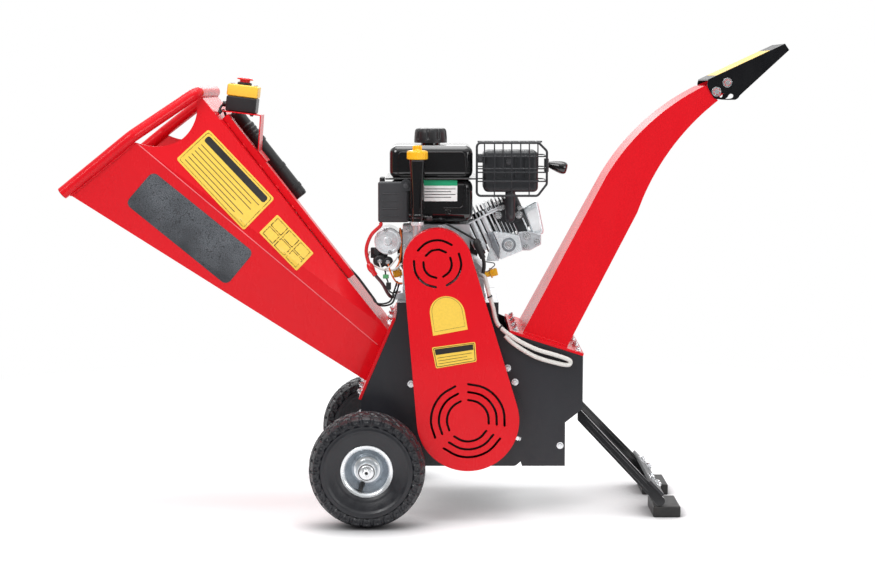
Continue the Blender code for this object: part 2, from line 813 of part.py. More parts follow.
def funnel_lines(mouth, throat):
    """The funnel's six outer edge lines and the inner ones, a sheet's thickness inside them."""
    outer = [(Vector(a), Vector(b)) for a, b in zip(hopper_ring(mouth), hopper_ring(throat))]
    count = len(outer)
    normals = []
    for i in range(count):
        (a, b), (c, d) = outer[i], outer[(i + 1) % count]
        normal = (d - a).cross(b - c).normalized()
        centre = (a + b + c + d) / 4
        axis = sum(((p + q) / 2 for p, q in outer), Vector()) / count
        normals.append(normal if normal.dot(axis - centre) > 0 else -normal)
    inner = []
    for i in range(count):
        before, after = normals[i - 1], normals[i]
        inward = (before + after) * (HOPPER_SHEET / (1 + before.dot(after)))
        inner.append((outer[i][0] + inward, outer[i][1] + inward))
    return outer, inner


def folded_sheet(name, outer, inner, picked, lift):
    """A bent sheet through some of the funnel's edge lines, its first and last pulled in by half a gap."""
    places = []
    for lines in (outer, inner):
        ends = [[lines[i][0], at_lift(*lines[i], lift)] for i in picked]
        for edge, neighbour in ((0, 1), (-1, -2)):
            for side in (0, 1):
                inward = (ends[neighbour][side] - ends[edge][side]).normalized()
                ends[edge][side] = ends[edge][side] + inward * (GAP * 0.7)
        places.append(ends)
    bm = bmesh.new()
    skins = [[[bm.verts.new(p) for p in pair] for pair in ends] for ends in places]
    out, within = skins
    for k in range(len(picked) - 1):
        for skin in skins:
            bm.faces.new((skin[k][0], skin[k][1], skin[k + 1][1], skin[k + 1][0]))
        for side in (0, 1):
            bm.faces.new((out[k][side], out[k + 1][side], within[k + 1][side], within[k][side]))
    for k in (0, -1):
        bm.faces.new((out[k][0], out[k][1], within[k][1], within[k][0]))
    return add_object(name, finish_mesh(name, bm), "red_paint")


def hopper():
    """The open hopper: an upper and a lower folded sheet, hand notches, a flange and a tube round the mouth."""
    seat = handle_offset() * (HANDLE_RADIUS + GAP + HOPPER_SHEET * 0.25)
    low = Vector(HANDLE_END) + seat + (Vector(HANDLE_KNEE) - Vector(HANDLE_END)).normalized() * 0.012
    knee = Vector(HANDLE_KNEE) + seat
    throat_top = along(THROAT_TOP, THROAT_DOWN, THROAT_UPPER)
    throat_mid = along(THROAT_TOP, THROAT_DOWN, THROAT_CREASE)
    throat_low = along(THROAT_TOP, THROAT_DOWN, THROAT_LOWER)
    roof = (Vector(HANDLE_TOP) - Vector(throat_top)).normalized()
    top = Vector(HANDLE_TOP) - roof * (HANDLE_RADIUS + GAP)
    mouth = [
        (low.x, -MOUTH_HALF, low.y),
        (knee.x, -MOUTH_HALF + 0.004, knee.y),
        (top.x, -MOUTH_TOP_HALF, top.y),
    ]
    lift = FLANGE_PLATE / 2 + GAP
    throat = []
    for place in (throat_low, throat_mid, throat_top):
        x, z = along(place, THROAT_OUT, lift)
        throat.append((x, -THROAT_HALF, z))
    outer, inner = funnel_lines(mouth, throat)
    upper = folded_sheet("hopper_upper", outer, inner, (1, 2, 3, 4), FLANGE_PLATE + 2 * GAP)
    cut(upper, prism("hand_notch", [NOTCH_SCOOP], -0.4, 0.4, None))
    lower = folded_sheet("hopper_lower", outer, inner, (4, 5, 0, 1), lift)
    flange = rectangle(0, -HOPPER_FLANGE_HALF, THROAT_LENGTH, HOPPER_FLANGE_HALF)
    opening = rectangle(THROAT_UPPER + 0.004, -THROAT_HALF + 0.0045, THROAT_LOWER - 0.004, THROAT_HALF - 0.0045)
    join(lower, sloped_plate("hopper_flange", [flange, opening], THROAT_TOP, THROAT_DOWN, THROAT_OUT,
                             GAP, FLANGE_PLATE, "red_paint"))
    handle()
    hopper_fittings(throat_top, top)


def handle():
    ends = [
        (HANDLE_END[0], -MOUTH_HALF, HANDLE_END[1]),
        (HANDLE_KNEE[0], -MOUTH_HALF + 0.004, HANDLE_KNEE[1]),
        (HANDLE_TOP[0], -HANDLE_TOP_HALF, HANDLE_TOP[1]),
        (HANDLE_TOP[0], HANDLE_TOP_HALF, HANDLE_TOP[1]),
        (HANDLE_KNEE[0], MOUTH_HALF - 0.004, HANDLE_KNEE[1]),
        (HANDLE_END[0], MOUTH_HALF, HANDLE_END[1]),
    ]
    tube("hopper_handle", rounded_path(ends, HANDLE_BEND, 4), HANDLE_RADIUS, "red_paint", 4)


def roof_matrix(throat_top, top):
    """Local X runs down the hopper's roof, local Y is world Y, local Z stands off the roof."""
    down = (Vector(throat_top) - Vector(top)).normalized()
    x_axis = Vector((down.x, 0, down.y))
    y_axis = Vector((0, 1, 0))
    z_axis = x_axis.cross(y_axis)
    matrix = Matrix((x_axis, y_axis, z_axis)).transposed().to_4x4()
    return Matrix.Translation((top[0], 0, top[1])) @ matrix


def hopper_fittings(throat_top, top):
    """Cable channel, document tube and stop switch on the hopper's roof."""
    roof = roof_matrix(throat_top, top)
    length = (Vector(throat_top) - Vector(top)).length
    start = 0.060
    end = length - 0.150
    rail = [(-0.020, GAP), (0.020, GAP), (0.020, 0.016), (-0.020, 0.016)]
    hollow = [(-0.018, -0.01), (0.018, -0.01), (0.018, 0.014), (-0.018, 0.014)]
    across = Matrix(((0, 0, 1, 0), (1, 0, 0, 0), (0, 1, 0, 0), (0, 0, 0, 1)))
    channel_y = -0.072
    place = roof @ Matrix.Translation(((start + end) / 2, channel_y, 0)) @ across
    mesh = outline_mesh("cable_channel", [rail], end - start)
    mesh.transform(place)
    channel = add_object("cable_channel", mesh, "red_paint")
    mesh = outline_mesh("channel_hollow", [hollow], end - start + 0.02)
    mesh.transform(place)
    cut(channel, add_object("channel_hollow", mesh, None))
    radius = 0.0165
    collar = radius + 0.0025
    profile = [
        (0, 0.124),
        (radius * 0.8, 0.124),
        (radius, 0.119),
        (radius, 0.082),
        (collar, 0.080),
        (collar, 0.030),
        (radius, 0.028),
        (radius, -0.119),
        (radius * 0.8, -0.124),
        (0, -0.124),
    ]
    centre = roof @ Vector((0.181, 0.035, collar + GAP))
    turned("document_tube", profile, 20, "black_plastic", centre,
           (roof @ Matrix.Rotation(math.radians(-90), 4, "Y")).to_3x3().to_4x4())
    stop_switch(roof)


def stop_switch(roof):
    """A bracket, a two-part box and a mushroom button that travels along the box's axis."""
    lean = math.radians(7)
    tilt = Matrix.Rotation(lean, 4, "Y")
    origin = Vector((-0.441, -0.045, 0.8995))
    base = Matrix.Translation(origin) @ tilt
    half_x = 0.034
    half_y = 0.034
    box("switch_base", (-half_x, -half_y, GAP), (half_x, half_y, 0.034), "black_plastic", 0.003, 1, base)
    lid = box("switch_lid", (-half_x - 0.0006, -half_y, 0.034 + GAP), (half_x + 0.0006, half_y, 0.061),
              "yellow_plastic", 0.003, 1, base)
    cut(lid, pin("lid_bore", BUTTON_STEM + 0.0007, 0.040, 0.075, 24, None, origin, base.to_3x3().to_4x4()))
    join(lid, turned("lid_collar", [(BUTTON_STEM + GAP, 0.0665), (0.0150, 0.0665), (0.0150, 0.058),
                                   (BUTTON_STEM + GAP, 0.058)], 24,
                     "black_plastic", origin, base.to_3x3().to_4x4()))
    profile = [
        (0, 0.0790),
        (0.0120, 0.0780),
        (0.0182, 0.0755),
        (0.0186, 0.0735),
        (BUTTON_STEM, 0.0722),
        (BUTTON_STEM, 0.0465),
        (0, 0.0465),
    ]
    turned("stop_button", profile, 20, "red_plastic", origin, base.to_3x3().to_4x4())
    bracket(roof, base, half_x, half_y)


def bracket(roof, base, half_x, half_y):
    """The zinc-white shelf of the switch, folded down to the cable channel."""
    sheet = 0.0025
    corner = base @ Vector((half_x + 0.012, 0, -sheet))
    left = base @ Vector((-half_x - 0.004, 0, -sheet))
    foot = roof @ Vector((0.166, 0, 0.016 + GAP * 2))
    toe = roof @ Vector((0.196, 0, 0.016 + GAP * 2))
    path = [(left.x, left.z), (corner.x, corner.z), (foot.x, foot.z), (toe.x, toe.z)]
    band("switch_bracket", path, sheet, -0.092, -0.012, "red_paint")


def chute_side(base, knee, final, begin_turn, count):
    """A path in XZ: straight to the knee, then an arc that leans over to the exit."""
    points = [base, knee]
    start = Vector(knee)
    finish = Vector(final)
    chord = finish - start
    bulge = math.radians(begin_turn) / 2
    radius = chord.length / (2 * math.sin(bulge))
    normal = Vector((chord.y, -chord.x)).normalized()
    centre = (start + finish) / 2 + normal * (radius * math.cos(bulge))
    first = start - centre
    for i in range(1, count + 1):
        points.append(tuple(centre + Matrix.Rotation(-2 * bulge * i / count, 2) @ first))
    return points


def chute():
    """The curved discharge chute with its flange, bolts and ears for the deflector."""
    count = 8
    seats = []
    for place in (CHUTE_BACK_SEAT, CHUTE_FRONT_SEAT):
        seats.append(along(along(OUTLET_LEFT, OUTLET_ALONG, place), OUTLET_UP, GAP + FLANGE_PLATE / 2))
    backs = chute_side(seats[0], CHUTE_BACK_KNEE, CHUTE_BACK_EXIT, CHUTE_TURN, count)
    fronts = chute_side(seats[1], CHUTE_FRONT_KNEE, CHUTE_FRONT_EXIT, CHUTE_TURN, count)
    sections = []
    for index, (back, front) in enumerate(zip(backs, fronts)):
        half = CHUTE_BASE_HALF if index == 0 else CHUTE_TOP_HALF
        sections.append([
            (back[0], -half, back[1]),
            (front[0], -half, front[1]),
            (front[0], half, front[1]),
            (back[0], half, back[1]),
        ])
    body = loft("chute", sections, "red_paint")
    add_shell(body, CHUTE_SHEET)
    flange = rectangle(0, -CHUTE_FLANGE_HALF, OUTLET_LENGTH, CHUTE_FLANGE_HALF)
    inner = CHUTE_BASE_HALF - 0.0045
    opening = rectangle(0.0375, -inner, 0.1305, inner)
    join(body, sloped_plate("chute_flange", [flange, opening], OUTLET_LEFT, OUTLET_ALONG, OUTLET_UP,
                            GAP, FLANGE_PLATE, "red_paint"))
    lock = along(PIVOT, unit(LOCK_ANGLE), LOCK_REACH)
    for side, sign in SIDES:
        ends = sorted((sign * (EAR_HALF - 0.002), sign * EAR_HALF))
        round_end = arc(PIVOT, 0.0135, -60, 90, 6)
        ear = round_end + [(0.6060, 0.9620), (0.5750, 0.9380), (0.5950, 0.9120), (0.6210, 0.9270)]
        join(body, prism(f"chute_ear_{side}", [ear], *ends, "red_paint"))
        for label, place in (("pivot", PIVOT), ("lock", lock)):
            turn = Matrix.Rotation(math.radians(-90 * sign), 4, "X")
            outer = EAR_HALF + 0.001 + DEFLECTOR_SHEET + 0.0005
            bolt = [
                (0, outer + 0.006),
                (0.0070, outer + 0.006),
                (0.0070, outer),
                (PIVOT_BOLT_RADIUS, outer),
                (PIVOT_BOLT_RADIUS, EAR_HALF - 0.0012),
                (0, EAR_HALF - 0.0012),
            ]
            join(body, turned(f"{label}_bolt_{side}", bolt, 10, "zinc", (place[0], 0, place[1]), turn))


def deflector():
    """The hood that tips down over the chute's exit, with arc slots for its lock bolts."""
    cheek = [
        (0.6010, 0.9600),
        (0.6030, 0.9725),
        (0.7727, 1.0515),
        (0.7823, 1.0374),
        (0.6860, 0.9480),
    ] + arc((0.6600, 0.9420), 0.0150, -20, -80, 3) + [
        (0.6340, 0.9275),
        (0.6180, 0.9300),
        (0.6110, 0.9400),
    ]
    outer = EAR_HALF + 0.001 + DEFLECTOR_SHEET
    item = prism("deflector", [cheek], -outer, outer, "black_paint")
    hollow = [
        (0.5800, 0.9594),
        (0.6034, 0.9702),
        (0.7718, 1.0487),
        (0.7796, 1.0374),
        (0.7823, 1.0340),
        (0.7600, 0.9000),
        (0.5800, 0.9000),
    ]
    cut(item, prism("deflector_hollow", [hollow], -EAR_HALF - 0.001, EAR_HALF + 0.001, None))
    slot = ring_slot(PIVOT, LOCK_REACH, LOCK_ANGLE - 1, LOCK_ANGLE + DEFLECTOR_TRAVEL + 2, 0.0100, 6, 4)
    cut(item, prism("lock_slots", [slot], -0.2, 0.2, None))
    cut(item, prism("pivot_holes", [circle(PIVOT, PIVOT_BOLT_RADIUS + GAP, 16)], -0.2, 0.2, None))


def stand():
    """Two splayed arms, a cross plate and two feet under the chute end."""
    for side, sign in SIDES:
        top = Vector((ARM_TOP[0], sign * ARM_TOP_Y, ARM_TOP[1]))
        foot = Vector((ARM_FOOT[0], sign * ARM_FOOT_Y, ARM_FOOT[1]))
        run = (foot - top).normalized()
        side_way = Vector((0, 1, 0)) - run * run.y
        side_way.normalize()
        up_way = run.cross(side_way)
        matrix = Matrix((run, side_way, up_way)).transposed().to_4x4()
        length = (foot - top).length
        half = ARM_WIDTH / 2
        mesh = outline_mesh(f"stand_arm_{side}", [arm_outline(length, half)], ARM_THICKNESS)
        turn = Matrix.Rotation(math.radians(90), 4, "X")
        mesh.transform(Matrix.Translation(top) @ matrix @ turn)
        arm = add_object(f"stand_arm_{side}", mesh, "black_paint")
        ends = sorted((sign * FOOT_INNER, sign * FOOT_OUTER))
        item = box(f"foot_{side}", (FOOT_LEFT, ends[0], 0), (FOOT_RIGHT, ends[1], FOOT_HEIGHT), "rubber", 0.002)
        slab = box(f"arm_trim_{side}", (0.40, -0.3, -0.2), (0.60, 0.3, FOOT_HEIGHT + GAP), None)
        cut(arm, slab)
        cut(arm, box(f"arm_head_trim_{side}", (0.2, -0.3, 0.1), (STAND_BAR_X + GAP, 0.3, 0.4), None))
    run = Vector((ARM_FOOT[0] - ARM_TOP[0], ARM_FOOT[1] - ARM_TOP[1])).normalized()
    rise = Vector((-run.y, run.x))
    centre = Vector(ARM_FOOT) - run * 0.028 + rise * (ARM_WIDTH / 2 + GAP + 0.003)
    corners = [centre + run * a + rise * b for a, b in ((-0.022, -0.003), (0.022, -0.003), (0.022, 0.003),
                                                        (-0.022, 0.003))]
    prism("stand_cross_plate", [[tuple(c) for c in corners]], -FOOT_OUTER, FOOT_OUTER, "black_paint")
    stand_bar()


def arm_outline(length, half):
    return [(-0.012, half), (-0.012, -half)] + arc((length, 0), half, -90, 90, 8)


def stand_bar():
    """The bar across the housing's right side that carries the two stand arms."""
    x_low = STAND_BAR_X
    bar = [
        (x_low - 0.028, 0.2150),
        (x_low, 0.2400),
        (x_low, 0.2900),
        (x_low - 0.005, 0.2900),
        (x_low - 0.005, 0.2425),
        (x_low - 0.031, 0.2190),
    ]
    prism("stand_bar", [bar], -(HOUSING_HALF - PLATE - GAP), HOUSING_HALF - PLATE - GAP, "black_paint")


def wheels():
    """Axle, rims with hubs, and pneumatic tyres."""
    half = HUB_WIDTH / 2
    for side, sign in SIDES:
        y = sign * TRACK / 2
        tyre_profile = tyre_section()
        turned(f"tyre_{side}", tyre_profile, TYRE_STEPS, "rubber", (AXLE_X, y, WHEEL_Z))
        turned(f"rim_{side}", rim_section(half), RIM_STEPS, "zinc", (AXLE_X, y, WHEEL_Z))
    reach = TRACK / 2 + half + 0.001
    cap = AXLE_CAP_RADIUS
    profile = [
        (0, reach + 0.010),
        (cap * 0.7, reach + 0.008),
        (cap, reach),
        (AXLE_RADIUS, reach),
        (AXLE_RADIUS, -reach),
        (cap, -reach),
        (cap * 0.7, -reach - 0.008),
        (0, -reach - 0.010),
    ]
    turned("axle", profile, 24, "zinc", (AXLE_X, 0, WHEEL_Z))


def tyre_section():
    """The closed section of a tyre with its bead opening towards the rim, outer side downwards."""
    half = TYRE_WIDTH / 2
    bead = BEAD_RADIUS
    return [
        (bead, half * 0.58),
        (TYRE_RADIUS * 0.64, half * 0.97),
        (TYRE_RADIUS * 0.80, half),
        (TYRE_RADIUS * 0.93, half * 0.84),
        (TYRE_RADIUS, half * 0.30),
        (TYRE_RADIUS, -half * 0.30),
        (TYRE_RADIUS * 0.93, -half * 0.84),
        (TYRE_RADIUS * 0.80, -half),
        (TYRE_RADIUS * 0.64, -half * 0.97),
        (bead, -half * 0.58),
        (bead, -half * 0.50),
        (TYRE_RADIUS * 0.80, -half * 0.70),
        (TYRE_RADIUS * 0.80, half * 0.70),
        (bead, half * 0.50),
    ]


def rim_section(half):
    """A dished two-part rim on a hub tube; the dish faces the machine's outside."""
    bore = AXLE_RADIUS + RUN
    width = TYRE_WIDTH / 2
    lip = RIM_RADIUS
    well = BEAD_RADIUS * math.cos(math.pi / TYRE_STEPS) - GAP
    shelf = width * 0.62 + GAP
    return [
        (bore, half),
        (HUB_RADIUS, half),
        (HUB_RADIUS, width * 0.40),
        (RIM_RADIUS * 0.80, width * 0.40),
        (RIM_RADIUS * 0.84, shelf + 0.0028),
        (lip, shelf + 0.0028),
        (well, shelf),
        (well, -shelf),
        (lip, -shelf - 0.0028),
        (RIM_RADIUS * 0.84, -shelf - 0.0028),
        (RIM_RADIUS * 0.80, -width * 0.40),
        (HUB_RADIUS, -width * 0.40),
        (HUB_RADIUS, -half),
        (bore, -half),
    ]


def engine():
    """A single-cylinder engine with a sloped, finned cylinder."""
    floor = DECK_Z + GAP
    case = [
        (-0.098, floor),
        (0.108, floor),
        (0.108, floor + 0.012),
        (CASE_RIGHT, floor + 0.016),
        (CASE_RIGHT, 0.548),
        (0.088, 0.564),
        (CASE_DECK_X, 0.568),
        (CASE_DECK_X, 0.6500),
        (-0.060, 0.6500),
        (CASE_LEFT, 0.630),
        (CASE_LEFT, floor + 0.016),
        (-0.098, floor + 0.012),
    ]
    block = prism("engine_block", [case], CASE_NEAR, CASE_FAR, "alloy")
    bore = Matrix.Rotation(math.radians(90), 4, "X")
    cut(block, pin("crank_bore", CRANK_RADIUS + RUN, 0.058, 0.2, 32, None, (CRANK_X, 0, CRANK_Z), bore))
    cover_outline = belt_hull((CRANK_X - 0.004, CRANK_Z + 0.004), 0.070, (CRANK_X + 0.002, 0.525), 0.0415, 8)
    prism("crankcase_cover", [cover_outline, circle(CRANK, CRANK_RADIUS + RUN * 3, 32)],
          CASE_NEAR - 0.014, CASE_NEAR - GAP, "alloy")
    cylinder(block)
    tank()
    exhaust()
    starter()
    blower()
    plugs = (("left", -0.0872, 0.5385, 190, 0.0072), ("right", 0.1225, 0.5390, 15, 0.0160))
    for label, x, z, lean, depth in plugs:
        turn = Matrix.Rotation(math.radians(90 - lean), 4, "Y")
        profile = [(0, 0.013), (0.0105, 0.013), (0.0115, -0.004), (0.007, -0.0045), (0.007, -depth), (0, -depth)]
        turned(f"drain_plug_{label}", profile, 12, "yellow_plastic", (x, -0.075, z), turn)


def lean_matrix(x, y, z):
    """Local Z lies along the cylinder, leaning up to the right."""
    return Matrix.Translation((x, y, z)) @ Matrix.Rotation(math.radians(90 - CYLINDER_LEAN), 4, "Y")


def cylinder(block):
    """Finned barrel, cast in one with the crankcase, head with its valve cover, and the baffle below."""
    place = lean_matrix(0.060, CYLINDER_Y, 0.6165)
    core = FIN_RADIUS - 0.014
    start = 0.016
    end = start + FIN_COUNT * FIN_PITCH
    barrel = outline_mesh("cylinder_barrel", [circle((0, 0), core, 16)], end - start + 0.006)
    barrel.transform(place @ Matrix.Translation((0, 0, (start + end - 0.006) / 2)))
    barrel = add_object("cylinder_barrel", barrel, "alloy")
    fin_outline = rounded_rectangle(-FIN_RADIUS, -FIN_RADIUS, FIN_RADIUS, FIN_RADIUS, 0.014, 1)
    for index in range(FIN_COUNT):
        fin = outline_mesh(f"fin_{index}", [fin_outline], FIN_SHEET)
        fin.transform(place @ Matrix.Translation((0, 0, start + (index + 0.35) * FIN_PITCH)))
        join(barrel, add_object(f"fin_{index}", fin, "alloy"))
    slab = box("barrel_trim", (-0.2, -0.2, 0.3), (CASE_DECK_X - 0.002, 0.2, 0.9), None)
    under = box("tank_trim", (-0.2, -0.2, TANK_BASE - GAP), (TANK_RIGHT + GAP, 0.2, 0.9), None)
    cut(barrel, slab, under)
    join(block, barrel)
    end += GAP
    head = box("cylinder_head", (-0.050, HEAD_NEAR - CYLINDER_Y, end), (0.046, 0.052, end + 0.030), "alloy", 0.004, 1, place)
    for index in range(3):
        z = end + 0.006 + index * 0.008
        groove = box(f"head_groove_{index}", (-0.06, -0.06, z), (-0.038, 0.06, z + 0.0045), None, 0, 1, place)
        other = box(f"head_notch_{index}", (0.034, -0.06, z), (0.06, 0.06, z + 0.0045), None, 0, 1, place)
        cut(head, groove, other)
    cover_low = end + 0.028
    join(head, box("valve_cover", (-0.044, -0.044, cover_low), (0.040, 0.044, cover_low + 0.032), "alloy", 0.008,
                   2, place))
    baffle = prism("cylinder_baffle", [[(0.1130, 0.6240), (0.1210, 0.5790), (0.1270, 0.5690), (0.1860, 0.5950),
                                       (0.1790, 0.6120), (0.1500, 0.6310)]], -0.098, HEAD_NEAR - GAP, "zinc")
    add_bevel(baffle, 0.003)
    recess = pin("baffle_recess", 0.013, 0.094, 0.120, 20, None, (0.1590, 0, 0.6040),
                 Matrix.Rotation(math.radians(90), 4, "X"))
    cut(baffle, recess)


def tank():
    """Fuel tank in two halves of one solid, its cap, and the oil filler."""
    lower = box("fuel_tank", (-0.1070, TANK_NEAR, TANK_BASE), (TANK_RIGHT, TANK_FAR, TANK_SEAM_Z), "black_plastic",
                0.020, 2)
    top = TANK_SEAM_Z + TANK_UPPER
    upper = box("tank_upper", (-0.1070, TANK_NEAR, TANK_SEAM_Z - 0.001), (TANK_RIGHT, TANK_FAR, top),
                "black_plastic", 0.018, 2)
    seam = box("tank_seam", (-0.1160, TANK_NEAR - 0.008, TANK_SEAM_Z - 0.0015),
               (TANK_RIGHT + 0.0095, TANK_FAR + 0.008, TANK_SEAM_Z + 0.0025), "black_plastic")
    cap_x = -0.0157
    cap_y = -0.010
    neck = pin("tank_neck", 0.022, top - 0.0265, top + 0.0115, 24, "black_plastic", (cap_x, cap_y, 0), "Z")
    join(lower, upper, seam, neck)
    cap = [
        (0, 0.0365),
        (0.0300, 0.0365),
        (0.0345, 0.0335),
        (0.0372, 0.0275),
        (0.0372, 0.0035),
        (0.0235, 0.0035),
        (0.0235, 0.0120),
        (0, 0.0120),
    ]
    knob = turned("fuel_cap", cap, 24, "black_plastic", (cap_x, cap_y, top), "Z")
    for index in range(6):
        angle = 2 * math.pi * (index + 0.5) / 6
        x = cap_x + 0.0415 * math.cos(angle)
        y = cap_y + 0.0415 * math.sin(angle)
        cut(knob, pin(f"cap_flute_{index}", 0.0075, top - 0.0065, top + 0.0435, 8, None, (x, y, 0), "Z"))
    filler_y = -0.146
    filler_x = -0.0445
    profile = [
        (0, 0.7970),
        (0.0185, 0.7970),
        (0.0165, 0.7650),
        (0.0130, 0.7100),
        (0.0130, 0.6620),
        (0, 0.6620),
    ]
    neck = turned("oil_filler_tube", profile, 20, "black_plastic", (filler_x, filler_y, 0), "Z")
    elbow = rounded_path([(filler_x, filler_y, 0.672), (filler_x, filler_y, 0.622),
                          (filler_x, CASE_NEAR - 0.014 - GAP, 0.622)], 0.011, 4)
    join(neck, tube("filler_elbow", elbow, 0.0105, "black_plastic", 3))
    cap = [
        (0, 0.8280),
        (0.0070, 0.8280),
        (0.0070, 0.8180),
        (0.0215, 0.8160),
        (0.0232, 0.8130),
        (0.0232, 0.7990),
        (0.0215, 0.7973),
        (0, 0.7973),
    ]
    turned("oil_filler_cap", cap, 20, "yellow_plastic", (filler_x, filler_y, 0), "Z")


def exhaust():
    """Muffler with its outlet pipe, the wire guard round it, and the recoil handle beside it."""
    body = box("muffler", (0.1020, MUFFLER_NEAR, 0.7230), (0.2240, MUFFLER_FAR, 0.8150), "black_paint", 0.012, 2)
    port = (0.1600, HEAD_NEAR - GAP, 0.6695)
    path = rounded_path([(port[0], -0.0960, 0.740), (port[0], -0.0960, port[2]), port], 0.012, 4)
    flange = box("muffler_flange", (port[0] - 0.030, port[1] - 0.005, port[2] - 0.0135),
                 (port[0] + 0.030, port[1], port[2] + 0.0135), "black_paint")
    join(body, tube("muffler_pipe", path, 0.0115, "black_paint", 3), flange)
    bars = []
    near = MUFFLER_NEAR - 0.014
    wire = 0.0022
    far = MUFFLER_FAR + wire + GAP
    left, right, low, high = 0.0870, 0.2420, 0.7160, 0.8330
    levels = (low, 0.7480, 0.7760, high - 0.030)
    frame = rounded_path([(left, near, 0.775), (left, near, high), (right, near, high), (right, near, low),
                          (left, near, low), (left, near, 0.774)], 0.010, 1)
    cage = tube("muffler_guard", frame, wire * 1.35, "black_paint", 1)
    for level in levels[1:]:
        bars.append([(left, near, level), (right, near, level), (right, far, level), (left, far, level)])
    for index, bar in enumerate(bars):
        path = rounded_path(bar, 0.012, 1)
        join(cage, tube(f"guard_wire_{index}", path, wire, "black_paint", 0))
    for index, x in enumerate((0.126, 0.164, 0.203)):
        path = rounded_path([(x, near, low), (x, near, high + 0.0005), (x, far, high + 0.0005)], 0.012, 1)
        join(cage, tube(f"guard_rib_{index}", path, wire, "black_paint", 0))
    bar = tube("guard_back", [(0.110, far - wire * 0.4, high - wire * 0.5), (0.220, far - wire * 0.4, high - wire * 0.5)], wire, "black_paint", 0)
    eye = box("grip_bracket", (right - 0.002, GRIP_Y - 0.012, GRIP_Z - 0.015),
              (GRIP_X - GAP, GRIP_Y + 0.012, GRIP_Z + 0.015), "black_paint")
    join(cage, bar, eye)
    recoil()


def recoil():
    """The starter's pull grip, parked against its bracket."""
    turn = Matrix.Rotation(math.radians(90), 4, "Y")
    profile = [
        (0, 0.0430),
        (0.0100, 0.0420),
        (0.0155, 0.0370),
        (0.0165, 0.0290),
        (0.0135, 0.0180),
        (0.0080, 0.0080),
        (0.0060, 0.0000),
        (0, 0.0000),
    ]
    turned("recoil_handle", profile, 20, "black_plastic", (GRIP_X, GRIP_Y, GRIP_Z), turn)


def starter():
    """Starter motor with its solenoid, and the ribbed control cover above them."""
    turn = Matrix.Rotation(math.radians(90), 4, "X")
    x = -0.1110
    z = 0.6130
    profile = [
        (0, 0.1120),
        (0.0120, 0.1120),
        (0.0140, 0.1080),
        (0.0280, 0.1060),
        (0.0300, 0.1030),
        (0.0300, -0.0100),
        (0.0240, -0.0400),
        (0, -0.0400),
    ]
    motor = turned("starter_motor", profile, 24, "zinc", (x, 0, z), turn)
    profile = [(0, 0.1050), (0.0130, 0.1050), (0.0150, 0.1020), (0.0150, 0.0380), (0, 0.0380)]
    join(motor, turned("starter_solenoid", profile, 16, "zinc", (-0.1290, 0, 0.5675), turn),
         box("starter_lug", (-0.1050, 0.0150, 0.5950), (CASE_LEFT - GAP, 0.0300, 0.6300), "zinc"),
         box("solenoid_yoke", (-0.1300, -0.0900, 0.5700), (-0.1120, -0.0500, 0.6000), "zinc"))
    cover = box("control_cover", (-0.1320, -0.1300, 0.6565), (-0.0640, -0.1158, 0.7475), "black_plastic", 0.005, 2)
    for index in range(4):
        level = 0.6720 + index * 0.0170
        rib = box(f"cover_rib_{index}", (-0.1270, -0.1322, level), (-0.0880, -0.1290, level + 0.0022),
                  "black_plastic")
        join(cover, rib)


def blower():
    """The blower and recoil housing on the engine's far side."""
    turn = Matrix.Rotation(math.radians(-90), 4, "X")
    profile = [
        (0, 0.062),
        (0.050, 0.062),
        (0.060, 0.056),
        (0.062, 0.034),
        (0.088, 0.030),
        (0.0945, 0.022),
        (0.0945, 0.0),
        (0, 0.0),
    ]
    shell = turned("blower_housing", profile, 24, "black_plastic", (CRANK_X, CASE_FAR + GAP, CRANK_Z), turn)
    for ring in range(2):
        radius = 0.024 + 0.017 * ring
        for index in range(3):
            begin = 120 * index + 10 + 60 * ring
            slot = ring_slot(CRANK, radius, begin, begin + 95, 0.0070)
            cut(shell, prism(f"blower_slot_{ring}_{index}", [slot], CASE_FAR + 0.048, CASE_FAR + 0.09, None))


def cables():
    """Cords held along the machine: the sleeved stop cable, the starter cable and the hopper's wires."""
    outside = -(HOUSING_HALF + 0.0110)
    route = [
        (0.0960, CASE_NEAR - GAP, 0.5385),
        (0.0960, -0.1120, 0.5385),
        (0.1050, -0.1330, 0.5340),
        (0.1100, -0.1480, 0.5160),
        (0.1155, outside + 0.0040, 0.4950),
        (0.1225, outside, 0.4720),
        (0.1340, outside - 0.0010, 0.4330),
        (0.1720, outside - 0.0020, 0.4020),
        (0.2170, outside - 0.0040, 0.3790),
        (0.2650, outside - 0.0020, 0.3640),
        (0.2930, outside, 0.3530),
        (0.2900, outside, 0.3425),
        (0.2600, outside - 0.0020, 0.3480),
        (0.2160, outside - 0.0040, 0.3620),
        (0.1720, outside - 0.0020, 0.3880),
        (0.1500, outside, 0.4080),
    ]
    tube("stop_cable", cord_route(route, 30), 0.0048, "white_sleeve", 2)
    route = [
        (-0.1270, -0.1229, 0.6562),
        (-0.1270, -0.1229, 0.6490),
        (-0.1480, -0.1160, 0.6270),
        (-0.1590, -0.114, 0.5950),
        (-0.1530, -0.116, 0.5640),
        (-0.1400, -0.118, 0.5400),
        (-0.1230, -0.112, 0.5180),
        (-0.1120, -0.100, 0.4960),
        (-0.1050, -0.093, 0.4870),
        (-0.0984, -0.093, 0.4870),
    ]
    tube("starter_cable", cord_route(route, 24), 0.0040, "red_plastic", 1)


